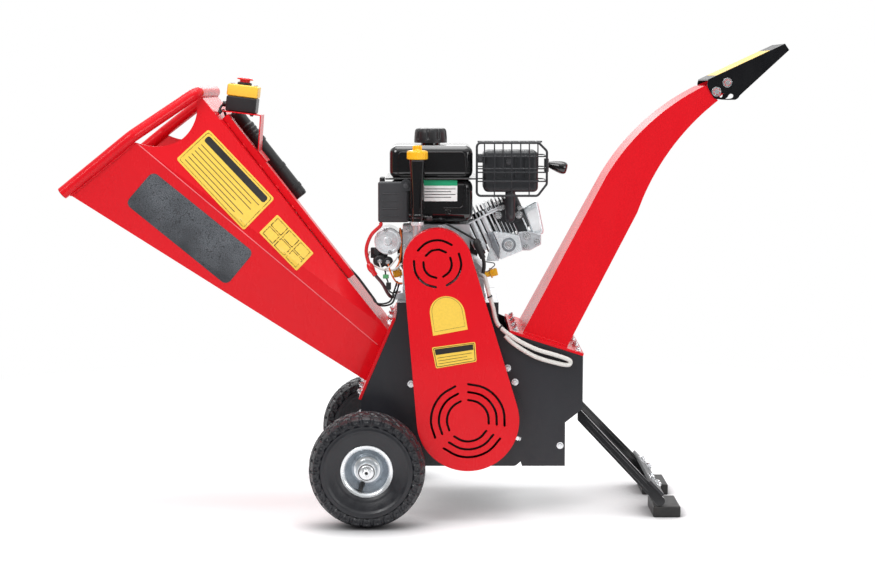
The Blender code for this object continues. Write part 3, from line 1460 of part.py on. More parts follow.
def recentre():
    """Puts the bottom centre of the whole machine at the origin."""
    bpy.context.view_layer.update()
    graph = bpy.context.evaluated_depsgraph_get()
    corners = []
    for item in PARTS.objects:
        if item.type == "MESH":
            solid = item.evaluated_get(graph)
            mesh = solid.to_mesh()
            points = np.empty(len(mesh.vertices) * 3)
            mesh.vertices.foreach_get("co", points)
            placed = [solid.matrix_world @ Vector(p) for p in points.reshape(-1, 3)]
            corners += [min(p[i] for p in placed) for i in range(3)], [max(p[i] for p in placed) for i in range(3)]
            solid.to_mesh_clear()
    low = np.min(corners, axis=0)
    high = np.max(corners, axis=0)
    ROOT.location = (-(low[0] + high[0]) / 2, -(low[1] + high[1]) / 2, -low[2])
    print("low", low, "high", high)


housing()
rotor()
belt_drive()
hopper()
chute()
deflector()
stand()
wheels()
engine()
cables()
recentre()
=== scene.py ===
import json
import math
import random

import bmesh
import bpy
from mathutils import Matrix, Vector, noise
from mathutils.bvhtree import BVHTree

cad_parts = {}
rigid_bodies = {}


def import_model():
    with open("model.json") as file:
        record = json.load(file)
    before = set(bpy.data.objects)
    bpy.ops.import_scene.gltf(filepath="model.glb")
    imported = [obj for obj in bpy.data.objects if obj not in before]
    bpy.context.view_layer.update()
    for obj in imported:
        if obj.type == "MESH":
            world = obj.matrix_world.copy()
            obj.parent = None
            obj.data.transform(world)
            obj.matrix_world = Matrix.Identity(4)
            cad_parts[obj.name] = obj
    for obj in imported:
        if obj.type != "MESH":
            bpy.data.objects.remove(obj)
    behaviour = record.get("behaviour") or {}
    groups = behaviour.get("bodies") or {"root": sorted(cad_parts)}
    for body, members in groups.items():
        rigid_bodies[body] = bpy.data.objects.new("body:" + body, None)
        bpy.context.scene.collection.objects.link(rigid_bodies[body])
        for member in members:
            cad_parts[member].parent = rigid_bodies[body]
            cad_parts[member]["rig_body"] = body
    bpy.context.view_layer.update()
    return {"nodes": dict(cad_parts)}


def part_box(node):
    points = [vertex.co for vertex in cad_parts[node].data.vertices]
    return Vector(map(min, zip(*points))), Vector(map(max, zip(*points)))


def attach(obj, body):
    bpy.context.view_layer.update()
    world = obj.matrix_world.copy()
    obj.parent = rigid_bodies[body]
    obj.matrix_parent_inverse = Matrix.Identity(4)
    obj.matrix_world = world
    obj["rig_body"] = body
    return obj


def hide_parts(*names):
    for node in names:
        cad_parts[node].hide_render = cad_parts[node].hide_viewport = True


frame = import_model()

NODES = frame["nodes"]
SHIFT = 0.016096
scene = bpy.context.scene
NEAR, FAR, UP = Vector((0, -1, 0)), Vector((0, 1, 0)), Vector((0, 0, 1))
SIDES = (("near", -1), ("far", 1))


def at(x, y, z):
    """A place of the machine, whose frame is a little off the scene's origin in X."""
    return Vector((x + SHIFT, y, z))


def heading(degrees):
    """A unit vector of the plane at an angle."""
    return Vector((math.cos(math.radians(degrees)), math.sin(math.radians(degrees))))


def step(value, low, high):
    """A smooth rise from 0 to 1 between two values."""
    t = min(1.0, max(0.0, (value - low) / (high - low)))
    return t * t * (3 - 2 * t)


def mm(*points):
    """Points given in millimetres."""
    return [tuple(value * 0.001 for value in point) for point in points]


# Camera, and the places it sees

IMAGE_WIDTH, IMAGE_HEIGHT = 875, 581
CAMERA = Vector((SHIFT, -4.33984, 0.96746))
FOCUS = 1900.0
PITCH = math.radians(6.272)
TREES = {}


def make_camera():
    data = bpy.data.cameras.new("camera")
    data.sensor_width = 36
    data.lens = FOCUS / IMAGE_WIDTH * data.sensor_width
    data.clip_end = 60
    item = bpy.data.objects.new("camera", data)
    item.location = CAMERA
    item.rotation_euler = (math.radians(90) - PITCH, 0, 0)
    scene.collection.objects.link(item)
    scene.camera = item


def pixel_ray(u, v):
    """The direction from the camera through a pixel of the photograph."""
    side = Vector((1, 0, 0))
    ahead = Vector((0, math.cos(PITCH), -math.sin(PITCH)))
    up = Vector((0, math.sin(PITCH), math.cos(PITCH)))
    right, rise = (u - IMAGE_WIDTH / 2) / FOCUS, (IMAGE_HEIGHT / 2 - v) / FOCUS
    return (ahead + side * right + up * rise).normalized()


def on_plane(u, v, y):
    """The point of a plane across Y that the photograph shows at a pixel."""
    ray = pixel_ray(u, v)
    return CAMERA + ray * ((y - CAMERA.y) / ray.y)


def tree_of(node):
    if node not in TREES:
        mesh = NODES[node].data
        TREES[node] = BVHTree.FromPolygons([v.co for v in mesh.vertices], [p.vertices for p in mesh.polygons])
    return TREES[node]


def seen(u, v, *nodes):
    """The point of these nodes that the photograph shows at a pixel."""
    ray = pixel_ray(u, v)
    hits = [hit for hit in (tree_of(n).ray_cast(CAMERA, ray)[0] for n in nodes) if hit]
    return min(hits, key=lambda p: (p - CAMERA).length)


def pixels(points, *nodes):
    """The points of these nodes that the photograph shows at several pixels."""
    return [seen(u, v, *nodes) for u, v in points]


# Materials

class Web:
    """A material's node tree, built by short calls."""

    def __init__(self, name):
        self.material = bpy.data.materials.new(name)
        self.material.use_nodes = True
        self.tree = self.material.node_tree
        self.shader = self.tree.nodes["Principled BSDF"]
        self.places = self.tree.nodes.new("ShaderNodeTexCoord")

    def add(self, kind, inputs=(), **settings):
        node = self.tree.nodes.new(kind)
        for key, value in settings.items():
            setattr(node, key, value)
        for key, value in dict(inputs).items():
            self.put(node.inputs[key], value)
        return node

    def put(self, socket, value):
        if isinstance(value, bpy.types.NodeSocket):
            self.tree.links.new(value, socket)
        else:
            socket.default_value = value

    def grid(self, scale=(1, 1, 1), turn=(0, 0, 0)):
        return self.add("ShaderNodeMapping", {"Vector": self.places.outputs["Object"], "Scale": scale,
                                              "Rotation": turn}).outputs[0]

    def noise(self, scale, detail=3.0, rough=0.55, where=None):
        where = where or self.places.outputs["Object"]
        return self.add("ShaderNodeTexNoise", {"Vector": where, "Scale": scale, "Detail": detail,
                                               "Roughness": rough}).outputs["Fac"]

    def cells(self, scale, where=None, feature="F1", out="Distance"):
        where = where or self.places.outputs["Object"]
        node = self.add("ShaderNodeTexVoronoi", {"Vector": where, "Scale": scale}, feature=feature)
        return node.outputs[out]

    def band(self, value, low, high, to_low=0.0, to_high=1.0):
        return self.add("ShaderNodeMapRange", {"Value": value, "From Min": low, "From Max": high,
                                               "To Min": to_low, "To Max": to_high}).outputs[0]

    def sum(self, operation, a, b=0.0):
        return self.add("ShaderNodeMath", {0: a, 1: b}, operation=operation).outputs[0]

    def mix(self, share, a, b):
        node = self.add("ShaderNodeMix", data_type="RGBA")
        self.put(node.inputs[0], share)
        self.put(node.inputs[6], a)
        self.put(node.inputs[7], b)
        return node.outputs[2]

    def bump(self, height, strength, distance):
        return self.add("ShaderNodeBump", {"Height": height, "Strength": strength,
                                           "Distance": distance}).outputs[0]

    def set(self, **values):
        for key, value in values.items():
            self.put(self.shader.inputs[key.replace("_", " ")], value)
        return self.material


def rgba(colour, share=1.0):
    """A colour made darker or lighter, with full cover."""
    return tuple(c * share for c in colour) + (1.0,)


def paint(name, colour, rough, grain=900, peel=0.04, dust=0.0, coat=0.0, spread=0.12, shine=0.5):
    """A coated or moulded surface: faint colour drift, uneven gloss, fine grain and dust low down."""
    web = Web(name)
    drift = web.noise(7.0, 4.0)
    fine = web.noise(grain, 2.0)
    tone = web.mix(web.band(drift, 0.3, 0.7), rgba(colour, 1 - spread), rgba(colour, 1 + spread))
    smear = web.noise(26.0, 5.0, 0.65, web.grid((1, 1, 0.35), (0.3, 0.5, 0.2)))
    gloss = web.band(smear, 0.3, 0.75, rough * 0.82, rough * 1.22)
    if dust:
        height = web.add("ShaderNodeSeparateXYZ", {0: web.places.outputs["Object"]}).outputs["Z"]
        low = web.band(height, 0.0, 0.35, dust, 0.0)
        specks = web.sum("MULTIPLY", low, web.band(web.noise(60.0, 6.0, 0.7), 0.35, 0.75))
        tone = web.mix(specks, tone, (0.25, 0.22, 0.18, 1))
        gloss = web.sum("ADD", gloss, web.sum("MULTIPLY", specks, 0.3))
    return web.set(Base_Color=tone, Roughness=gloss, Coat_Weight=coat, Coat_Roughness=0.06,
                   Specular_IOR_Level=shine, Normal=web.bump(fine, peel, 0.0004))


def metal(name, colour, rough, grain=700, relief=0.1, streak=None, spots=0.0, share=1.0):
    """Bare or plated metal: cloudy plating, fine relief, and brushing along one axis where given."""
    web = Web(name)
    cloud = web.noise(38.0, 5.0, 0.6)
    tone = web.mix(web.band(cloud, 0.3, 0.7), rgba(colour, 0.86), rgba(colour, 1.06))
    if spots:
        flakes = web.cells(grain * 0.25, None, "F1", "Color")
        flake = web.add("ShaderNodeSeparateColor", {0: flakes}).outputs[0]
        tone = web.mix(spots, tone, web.mix(flake, rgba(colour, 0.75), rgba(colour, 1.1)))
    height = web.noise(60.0, 3.0, 0.5, web.grid(streak)) if streak else web.noise(grain, 3.0)
    gloss = web.band(web.noise(90.0, 4.0), 0.3, 0.7, rough * 0.8, rough * 1.3)
    return web.set(Base_Color=tone, Roughness=gloss, Metallic=share, Normal=web.bump(height, relief, 0.0005))


def printed(name, colour):
    """A printed foil: flat ink with slight mottling and a fine film texture."""
    web = Web(name)
    tone = web.mix(web.band(web.noise(220.0, 3.0), 0.35, 0.7), rgba(colour, 0.94), rgba(colour, 1.03))
    gloss = web.band(web.noise(45.0, 3.0), 0.3, 0.7, 0.28, 0.42)
    return web.set(Base_Color=tone, Roughness=gloss, Normal=web.bump(web.noise(1600.0, 1.0), 0.03, 0.0002))


def tread_rubber():
    """Black rubber with a faint, patchy film of dust."""
    web = Web("tyre_rubber")
    dust = web.band(web.noise(30.0, 5.0, 0.65), 0.4, 0.75)
    tone = web.mix(dust, (0.0088, 0.0094, 0.0128, 1), (0.0165, 0.0172, 0.0215, 1))
    relief = web.bump(web.noise(950.0, 3.0), 0.18, 0.0006)
    gloss = web.band(web.noise(60.0, 4.0), 0.3, 0.7, 0.30, 0.46)
    return web.set(Base_Color=tone, Roughness=gloss, Normal=relief)


def braid():
    """A woven sleeve: two crossing waves over the length and the turn of a tube."""
    web = Web("braided_sleeve")
    around = web.add("ShaderNodeSeparateXYZ", {0: web.places.outputs["UV"]})
    along, turn = web.sum("MULTIPLY", around.outputs[0], 2400.0), web.sum("MULTIPLY", around.outputs[1], 37.7)
    strands = [web.sum("SINE", web.sum(kind, along, turn)) for kind in ("ADD", "SUBTRACT")]
    weave = web.sum("MULTIPLY", *strands)
    tone = web.mix(web.band(weave, -0.6, 0.6), (0.62, 0.60, 0.56, 1), (0.88, 0.87, 0.84, 1))
    return web.set(Base_Color=tone, Roughness=0.62, Normal=web.bump(weave, 0.5, 0.0006))


def mesh_print():
    """The grey plate's ground: a fine honeycomb over a slow dark-to-light drift."""
    web = Web("grey_plate_print")
    cell = web.cells(260.0, web.grid((1, 0.001, 1)), "DISTANCE_TO_EDGE")
    drift = web.band(web.noise(9.0, 2.0), 0.35, 0.65)
    ground = web.mix(drift, (0.030, 0.034, 0.042, 1), (0.150, 0.165, 0.185, 1))
    tone = web.mix(web.band(cell, 0.02, 0.10, 0.0, 0.75), (0.016, 0.018, 0.022, 1), ground)
    return web.set(Base_Color=tone, Roughness=web.band(web.noise(60.0), 0.3, 0.7, 0.26, 0.38))


M = {
    "red": paint("red_gloss_coat", (0.70, 0.0075, 0.015), 0.27, 300, 0.006, 0.02, 0.1, 0.03, 0.16),
    # A lighter, pinker red: a painted glint for the light caught along the hopper's crease.
    "painted_glint": paint("red_painted_glint", (0.80, 0.16, 0.18), 0.30, 300, 0.02, 0.0, 0.1, spread=0.20),
    "black": paint("black_powder_coat", (0.0125, 0.0130, 0.0178), 0.38, 1100, 0.08, 0.05),
    "hood_black": paint("black_hood_coat", (0.0042, 0.0044, 0.0060), 0.30, 900, 0.05, 0.0, 0.0, shine=0.35),
    "arm_black": paint("black_arm_coat", (0.0130, 0.0132, 0.0150), 0.20, 900, 0.03, 0.0, 0.5),
    "drive_black": paint("blackened_drive_parts", (0.006, 0.005, 0.005), 0.55, 900, 0.10, shine=0.2),
    "gloss_black": paint("black_gloss_shell", (0.0085, 0.0085, 0.0095), 0.13, 500, 0.02, 0.0, 0.6),
    "dark_cover": paint("grained_grey_plastic", (0.036, 0.037, 0.041), 0.46, 1500, 0.22),
    "black_plastic": paint("black_moulded_plastic", (0.016, 0.016, 0.018), 0.42, 1300, 0.14),
    "soft_black": paint("black_rubber_boot", (0.014, 0.014, 0.015), 0.52, 800, 0.16),
    "heat_black": paint("muffler_heat_paint", (0.0190, 0.0205, 0.0240), 0.42, 900, 0.18),
    "yellow": paint("yellow_moulded_plastic", (0.97, 0.50, 0.012), 0.30, 900, 0.05, 0.0, 0.2, spread=0.05),
    "switch_yellow": paint("yellow_switch_plastic", (0.97, 0.59, 0.055), 0.36, 1200, 0.10, spread=0.04),
    "red_plastic": paint("red_moulded_plastic", (0.72, 0.012, 0.018), 0.28, 900, 0.04, 0.0, 0.3),
    "red_lead": paint("red_cable_jacket", (0.62, 0.012, 0.018), 0.38, 1300, 0.06),
    "orange_lead": paint("orange_wire_jacket", (0.85, 0.16, 0.02), 0.40, 1300, 0.06),
    "brown_lead": paint("brown_cable_jacket", (0.105, 0.040, 0.048), 0.42, 1300, 0.06),
    "white_lead": paint("white_wire_jacket", (0.80, 0.79, 0.76), 0.45, 1300, 0.05),
    "black_lead": paint("black_lead_sleeve", (0.010, 0.010, 0.011), 0.45, 1200, 0.06),
    "green_lead": paint("green_connector_plastic", (0.10, 0.42, 0.16), 0.45, 1300, 0.05),
    "zinc": metal("bright_zinc_plate", (0.84, 0.86, 0.88), 0.22, 500, 0.06, None, 0.25, 0.75),
    "rim": metal("wheel_zinc_plate", (0.84, 0.87, 0.89), 0.22, 400, 0.03, share=0.6),
    "rim_dish": metal("wheel_dish_plate", (0.42, 0.46, 0.50), 0.20, 400, 0.04),
    "cast": metal("cast_aluminium", (0.66, 0.68, 0.71), 0.40, 620, 0.40, share=0.75),
    "fin": metal("machined_fins", (0.88, 0.91, 0.94), 0.32, 900, 0.08, share=0.30),
    "fin_shade": paint("fin_roots_in_shade", (0.030, 0.032, 0.037), 0.45, 900, 0.20),
    "pressed": metal("pressed_bright_sheet", (0.80, 0.86, 0.89), 0.26, 300, 0.03, share=0.30),
    "dark_pressed": metal("shaded_bright_sheet", (0.30, 0.33, 0.36), 0.30, 300, 0.04, share=0.6),
    # A near-white copy of the pressed sheet: a painted highlight on the valve cover's panel.
    "painted_highlight_panel": metal("painted_highlight_panel_sheet", (0.93, 0.97, 0.99), 0.22, 300, 0.02, share=0.15),
    "steel": metal("turned_steel", (0.42, 0.43, 0.45), 0.30, 900, 0.10, (1, 60, 1)),
    "dark_steel": metal("oiled_steel", (0.16, 0.16, 0.17), 0.38, 900, 0.12),
    # Grey metal for the engine deck's top: a painted reflection of white light on black paint at a grazing
    # angle.
    "deck_reflection_grey": metal("deck_painted_reflection", (0.50, 0.52, 0.54), 0.33, 500, 0.08),
    "tyre": tread_rubber(),
    "belt": paint("belt_rubber", (0.020, 0.020, 0.021), 0.62, 1200, 0.2),
    "foot": paint("foot_rubber", (0.0085, 0.0088, 0.0100), 0.50, 800, 0.25, 0.08),
    "braid": braid(),
    "mesh_print": mesh_print(),
    "yellow_print": printed("yellow_foil", (0.90, 0.60, 0.075)),
    "black_print": printed("black_foil", (0.012, 0.011, 0.010)),
    "white_print": printed("white_foil", (0.86, 0.87, 0.86)),
    "grey_print": printed("grey_foil", (0.42, 0.44, 0.45)),
    "green_print": printed("green_foil", (0.012, 0.36, 0.165)),
}


# Pieces of the scene

def piece(name, bm, finish, body="frame", smooth=38.0, replaced=()):
    """Makes a mesh a piece of the scene that rides on a body and may stand for nodes."""
    bmesh.ops.recalc_face_normals(bm, faces=bm.faces)
    mesh = bpy.data.meshes.new(name)
    bm.to_mesh(mesh)
    bm.free()
    mesh.materials.append(M[finish])
    for polygon in mesh.polygons:
        polygon.use_smooth = True
    mesh.set_sharp_from_angle(angle=math.radians(smooth))
    item = bpy.data.objects.new(name, mesh)
    scene.collection.objects.link(item)
    item.modifiers.new("even_shading", "WEIGHTED_NORMAL").keep_sharp = True
    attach(item, body)
    if replaced:
        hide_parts(*replaced)
    return item


def rounder(bm, limit=40.0):
    """Turns the coarse outline of a cut or bent sheet into a smooth curve, on both of its faces alike."""
    sharp = math.radians(28.0)
    rims = {e for e in bm.edges if len(e.link_faces) == 2 and e.calc_face_angle(0.0) > sharp}

    def tangent(edge, vert):
        """The curve's direction through an end of an edge, away from that end along the edge."""
        own = edge.other_vert(vert).co - vert.co
        found = []
        for other in vert.link_edges:
            if other is edge or other not in rims:
                continue
            that = other.other_vert(vert).co - vert.co
            turn = math.degrees(own.angle(-that))
            level = any(a.normal.dot(b.normal) > 0.998 for a in edge.link_faces for b in other.link_faces)
            if 2.0 < turn < limit and level:
                found.append(that)
        if len(found) != 1 or own.length > 2.5 * found[0].length:
            return own.normalized()
        that = found[0]
        if that.length > 2.5 * own.length:
            return -that.normalized()
        return (own.normalized() - that.normalized()).normalized()

    plan = {}
    for edge in rims:
        a, b = edge.verts
        first, last = tangent(edge, a), -tangent(edge, b)
        chord = (b.co - a.co).normalized()
        turn = math.degrees(first.angle(chord) + last.angle(chord))
        if turn > 1.5:
            plan[edge] = [min(8, max(2, math.ceil(turn / 6))), first, last]
    opposite = []
    for face in bm.faces:
        ring = [loop.edge for loop in face.loops]
        if len(ring) == 4:
            opposite += [(e, f) for e, f in (ring[::2], ring[1::2]) if e in plan and f in plan]
    for _ in range(3):
        for e, f in opposite:
            plan[e][0] = plan[f][0] = max(plan[e][0], plan[f][0])
    added = {}
    for edge, (count, first, last) in plan.items():
        a, b = edge.verts
        start, end = a.co.copy(), b.co.copy()
        length = (end - start).length
        new, here, rest = [], a, edge
        for k in range(1, count):
            t = k / count
            p = (start * (2 * t ** 3 - 3 * t * t + 1) + first * length * (t ** 3 - 2 * t * t + t)
                 + end * (3 * t * t - 2 * t ** 3) + last * length * (t ** 3 - t * t))
            here = bmesh.utils.edge_split(rest, here, 1.0 / (count - k + 1))[1]
            here.co = p
            new.append(here)
            rest = next(x for x in here.link_edges if x.other_vert(here) is b)
        added[edge] = (a, b, new)
    for e, f in opposite:
        a, _, one = added[e]
        c, d, two = added[f]
        joined = [edge.other_vert(a) for edge in a.link_edges]
        if c not in joined and d in joined:
            two = two[::-1]
        for p, q in zip(one, two):
            shared = [g for g in p.link_faces if g in set(q.link_faces)]
            if shared and not any(q in l.verts for l in p.link_edges):
                bmesh.utils.face_split(shared[0], p, q)


def dress(node, finish, width=0.0008, segments=2, angle=28.0, smooth=50.0, turn=40.0):
    """A node's own shape with its outline smoothed and its edges broken, shown in the node's place."""
    source = NODES[node]
    bm = bmesh.new()
    bm.from_mesh(source.data)
    bmesh.ops.remove_doubles(bm, verts=bm.verts, dist=2e-5)
    bmesh.ops.dissolve_limit(bm, angle_limit=math.radians(0.6), verts=bm.verts, edges=bm.edges)
    if turn:
        rounder(bm, turn)
    sharp = [e for e in bm.edges if len(e.link_faces) == 2 and e.calc_face_angle(0.0) > math.radians(angle)]
    bmesh.ops.bevel(bm, geom=sharp, offset=width, segments=segments, profile=0.5, affect="EDGES",
                    clamp_overlap=True)
    return piece(f"{node}_skin", bm, finish, source["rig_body"], smooth, (node,))


def paint_nodes(finish, *nodes):
    """Gives a material to nodes that show as they are."""
    for node in nodes:
        NODES[node].data.materials.clear()
        NODES[node].data.materials.append(M[finish])


# Turned and swept shapes

def frame_of(axis):
    """A turn whose local Z is the given axis."""
    return Vector(axis).to_track_quat("Z", "Y").to_matrix().to_4x4()


def posed(place, axis):
    """The matrix that carries local Z to an axis through a place."""
    return Matrix.Translation(Vector(place)) @ frame_of(axis)


def soften(profile, reach, count=3):
    """Rounds the corners of an open profile."""
    points = [Vector(p) for p in profile]
    out = [points[0]]
    for before, corner, after in zip(points, points[1:], points[2:]):
        a, b = before - corner, after - corner
        if a.length < 1e-9 or b.length < 1e-9 or abs(a.normalized().dot(b.normalized())) > 0.995:
            out.append(corner)
            continue
        cut = min(reach, a.length * 0.45, b.length * 0.45)
        start, end = corner + a.normalized() * cut, corner + b.normalized() * cut
        for i in range(count + 1):
            t = i / count
            out.append(start.lerp(corner, t).lerp(corner.lerp(end, t), t))
    out.append(points[-1])
    return [tuple(p) for p in out]


def mirrored(profile):
    """A profile's other half, below its middle."""
    return [(r, -h) for r, h in reversed(profile)]


def turned_mesh(bm, profile, steps, matrix, wave=None, closed=False):
    """Adds a turned solid. The profile gives (radius, height); wave changes a radius by angle."""
    rings = []
    for radius, height in profile:
        if radius < 1e-7:
            rings.append([bm.verts.new(matrix @ Vector((0, 0, height)))])
            continue
        ring = []
        for i in range(steps):
            angle = 2 * math.pi * i / steps
            r = radius * (wave(angle, radius, height) if wave else 1.0)
            ring.append(bm.verts.new(matrix @ Vector((r * math.cos(angle), r * math.sin(angle), height))))
        rings.append(ring)
    pairs = list(zip(rings, rings[1:])) + ([(rings[-1], rings[0])] if closed else [])
    for a, b in pairs:
        for i in range(steps):
            k = (i + 1) % steps
            if len(a) == 1 and len(b) == 1:
                continue
            if len(a) == 1:
                bm.faces.new((a[0], b[i], b[k]))
            elif len(b) == 1:
                bm.faces.new((a[i], b[0], a[k]))
            else:
                bm.faces.new((a[i], b[i], b[k], a[k]))


def turned(name, profile, finish, centre, axis, body="frame", steps=64, round_=0.0008, replaced=(), wave=None,
           closed=False, smooth=38.0):
    """A turned solid as a piece of its own, about an axis through a centre."""
    bm = bmesh.new()
    outline = soften(profile, round_) if round_ and not closed else profile
    turned_mesh(bm, outline, steps, posed(centre, axis), wave, closed)
    return piece(name, bm, finish, body, smooth, replaced)


def sweep_mesh(bm, points, radius, sides=12, closed=False):
    """Adds a tube along points; radius may be a function of (index, distance)."""
    points = [Vector(p) for p in points]
    count = len(points)
    tangents = []
    for i in range(count):
        a = points[(i - 1) % count] if closed or i else points[0]
        b = points[(i + 1) % count] if closed or i < count - 1 else points[-1]
        tangents.append((b - a).normalized())
    normal = tangents[0].orthogonal().normalized()
    layer = bm.loops.layers.uv.verify()
    rings, marks, run = [], [], 0.0
    for i, (p, t) in enumerate(zip(points, tangents)):
        normal = (normal - t * normal.dot(t)).normalized()
        other = t.cross(normal)
        if i:
            run += (p - points[i - 1]).length
        r = radius(i, run) if callable(radius) else radius
        rings.append([bm.verts.new(p + (normal * math.cos(w) + other * math.sin(w)) * r)
                      for w in (2 * math.pi * k / sides for k in range(sides))])
        marks.append(run)
    order = list(range(count)) + ([0] if closed else [])
    for i, j in zip(order, order[1:]):
        end = marks[j] if j else marks[i] + (points[0] - points[i]).length
        for k in range(sides):
            n = (k + 1) % sides
            face = bm.faces.new((rings[i][k], rings[i][n], rings[j][n], rings[j][k]))
            for loop, place in zip(face.loops, ((marks[i], k), (marks[i], k + 1), (end, k + 1), (end, k))):
                loop[layer].uv = (place[0], place[1] / sides)
    if not closed:
        bm.faces.new(rings[0][::-1])
        bm.faces.new(rings[-1])


def tube(name, points, radius, finish, sides=16, closed=False, replaced=(), smooth=50.0):
    """A tube along points as a piece of its own."""
    bm = bmesh.new()
    sweep_mesh(bm, points, radius, sides, closed)
    return piece(name, bm, finish, "frame", smooth, replaced)


def curve_points(points, count):
    """A smooth path through points, evenly spaced."""
    points = [Vector(p) for p in points]
    dense = []
    for i in range(len(points) - 1):
        a = points[max(i - 1, 0)]
        b, c = points[i], points[i + 1]
        d = points[min(i + 2, len(points) - 1)]
        for k in range(16):
            t = k / 16
            dense.append(0.5 * ((2 * b) + (c - a) * t + (2 * a - 5 * b + 4 * c - d) * t * t
                                + (3 * b - a - 3 * c + d) * t ** 3))
    dense.append(points[-1])
    lengths = [0.0]
    for p, q in zip(dense, dense[1:]):
        lengths.append(lengths[-1] + (q - p).length)
    out, k = [], 0
    for i in range(count):
        goal = lengths[-1] * i / (count - 1)
        while k < len(lengths) - 2 and lengths[k + 1] < goal:
            k += 1
        span = lengths[k + 1] - lengths[k]
        out.append(dense[k].lerp(dense[k + 1], (goal - lengths[k]) / span if span else 0))
    return out


def bent(points, radius, count=8):
    """A path with its inner corners rounded."""
    points = [Vector(p) for p in points]
    out = [points[0]]
    for before, corner, after in zip(points, points[1:], points[2:]):
        a, b = (before - corner), (after - corner)
        half = a.angle(b) / 2
        cut = min(radius / math.tan(half), a.length * 0.49, b.length * 0.49)
        reach = cut * math.tan(half)
        a.normalize()
        b.normalize()
        centre = corner + (a + b).normalized() * (reach / math.sin(half))
        first, last = corner + a * cut - centre, corner + b * cut - centre
        for i in range(count + 1):
            out.append(centre + first.slerp(last, i / count).normalized() * first.length)
    out.append(points[-1])
    return out


def bead(name, points, radius, finish="red"):
    """A weld seam: an uneven tube with overlapping ripples."""
    pitch = 0.0026
    points = [Vector(p) for p in points]
    length = sum((q - p).length for p, q in zip(points, points[1:]))
    steps = max(8, int(length / pitch * 3))
    path = curve_points(points, steps)

    def swell(i, run):
        taper = min(1.0, i / 4 + 0.35, (steps - 1 - i) / 4 + 0.35)
        return radius * taper * (0.86 + 0.14 * abs(math.sin(math.pi * run / pitch))
                                 + 0.10 * noise.noise(path[i] * 140))

    bm = bmesh.new()
    sweep_mesh(bm, path, swell, 8)
    return piece(name, bm, finish, smooth=60)


# Blocks, plates and foils

# Stands a flat shape up so that it faces the near side
FACE = Matrix(((1, 0, 0, 0), (0, 0, -1, 0), (0, 1, 0, 0), (0, 0, 0, 1)))


def block_mesh(bm, low, high, matrix=Matrix(), bevel=0.0, segments=3):
    """Adds a box with rounded edges."""
    made = bmesh.ops.create_cube(bm, size=1.0)["verts"]
    size = Vector(high) - Vector(low)
    centre = (Vector(high) + Vector(low)) / 2
    for v in made:
        v.co = Vector((v.co.x * size.x, v.co.y * size.y, v.co.z * size.z)) + centre
    if bevel:
        edges = list({e for v in made for e in v.link_edges})
        made = bmesh.ops.bevel(bm, geom=edges, offset=bevel, segments=segments, profile=0.5, affect="EDGES",
                               clamp_overlap=True)["verts"]
    whole, stack = set(), list(made)
    while stack:
        v = stack.pop()
        if v not in whole:
            whole.add(v)
            stack += [e.other_vert(v) for e in v.link_edges]
    bmesh.ops.transform(bm, matrix=matrix, verts=list(whole))


def block(name, low, high, finish, bevel, segments=3):
    """A box with rounded edges as a piece of its own."""
    bm = bmesh.new()
    block_mesh(bm, low, high, Matrix(), bevel, segments)
    return piece(name, bm, finish, smooth=40)


def slab_mesh(bm, outline, low, high, matrix=Matrix(), round_=0.0006, steps=2):
    """Adds a flat solid over an outline in local XY, with its top edge rounded."""
    area = sum(a[0] * b[1] - b[0] * a[1] for a, b in zip(outline, outline[1:] + outline[:1]))
    points = [Vector(p) for p in (outline if area > 0 else outline[::-1])]
    count = len(points)
    inward = []
    for i in range(count):
        a = (points[i] - points[i - 1]).normalized()
        b = (points[(i + 1) % count] - points[i]).normalized()
        n = Vector((-a.y - b.y, a.x + b.x))
        inward.append(n / max(0.4, 1 + a.dot(b)))
    rings = [[bm.verts.new(matrix @ Vector((p.x, p.y, low))) for p in points]]
    for k in range(steps + 1):
        w = math.pi / 2 * k / steps
        pull, level = round_ * (1 - math.cos(w)), high - round_ * (1 - math.sin(w))
        rings.append([bm.verts.new(matrix @ Vector((p.x + n.x * pull, p.y + n.y * pull, level)))
                      for p, n in zip(points, inward)])
    for a, b in zip(rings, rings[1:]):
        for i in range(count):
            k = (i + 1) % count
            bm.faces.new((a[i], a[k], b[k], b[i]))
    bm.faces.new(rings[0][::-1])
    bm.faces.new(rings[-1])


def face_plate(bm, spots, y, depth, round_=0.001, steps=3):
    """Adds a plate over pixels of the photograph: its face lies at y and it reaches back by depth."""
    points = [on_plane(u, v, y) for u, v in spots]
    slab_mesh(bm, [(p.x, p.z) for p in points], -y - depth, -y, FACE, round_, steps)


def plate_piece(name, spots, y, depth, finish, round_=0.001, steps=3, replaced=()):
    """A plate over pixels of the photograph as a piece of its own."""
    bm = bmesh.new()
    face_plate(bm, spots, y, depth, round_, steps)
    piece(name, bm, finish, replaced=replaced)


def rounded(u0, v0, u1, v1, r, count=6):
    """The outline of a rectangle with rounded corners."""
    out = []
    centres = ((u1 - r, v1 - r), (u0 + r, v1 - r), (u0 + r, v0 + r), (u1 - r, v0 + r))
    for quarter, (u, v) in enumerate(centres):
        for k in range(count + 1):
            w = math.radians(90 * quarter + 90 * k / count)
            out.append((u + r * math.cos(w), v + r * math.sin(w)))
    return out


def foil_flat(name, x0, z0, x1, z1, y, finish, thick):
    """A thin plate facing the near side, given by its corners in X and Z."""
    bm = bmesh.new()
    matrix = Matrix.Translation(at(x0, y, z0)) @ Matrix.Rotation(math.radians(90), 4, "X")
    slab_mesh(bm, rounded(0, 0, x1 - x0, z1 - z0, 0.0012), -0.0004, thick * 0.3, matrix, 0.0001, 1)
    piece(name, bm, finish)


def foil(name, points, y, finish):
    """A thin foil in a plane across Y, over an outline."""
    bm = bmesh.new()
    face = bm.faces.new([bm.verts.new(Vector((p.x, y - 0.0001, p.z))) for p in points])
    out = bmesh.ops.extrude_face_region(bm, geom=[face])["geom"]
    bmesh.ops.translate(bm, verts=[v for v in out if isinstance(v, bmesh.types.BMVert)], vec=(0, -0.0003, 0))
    return piece(name, bm, finish)


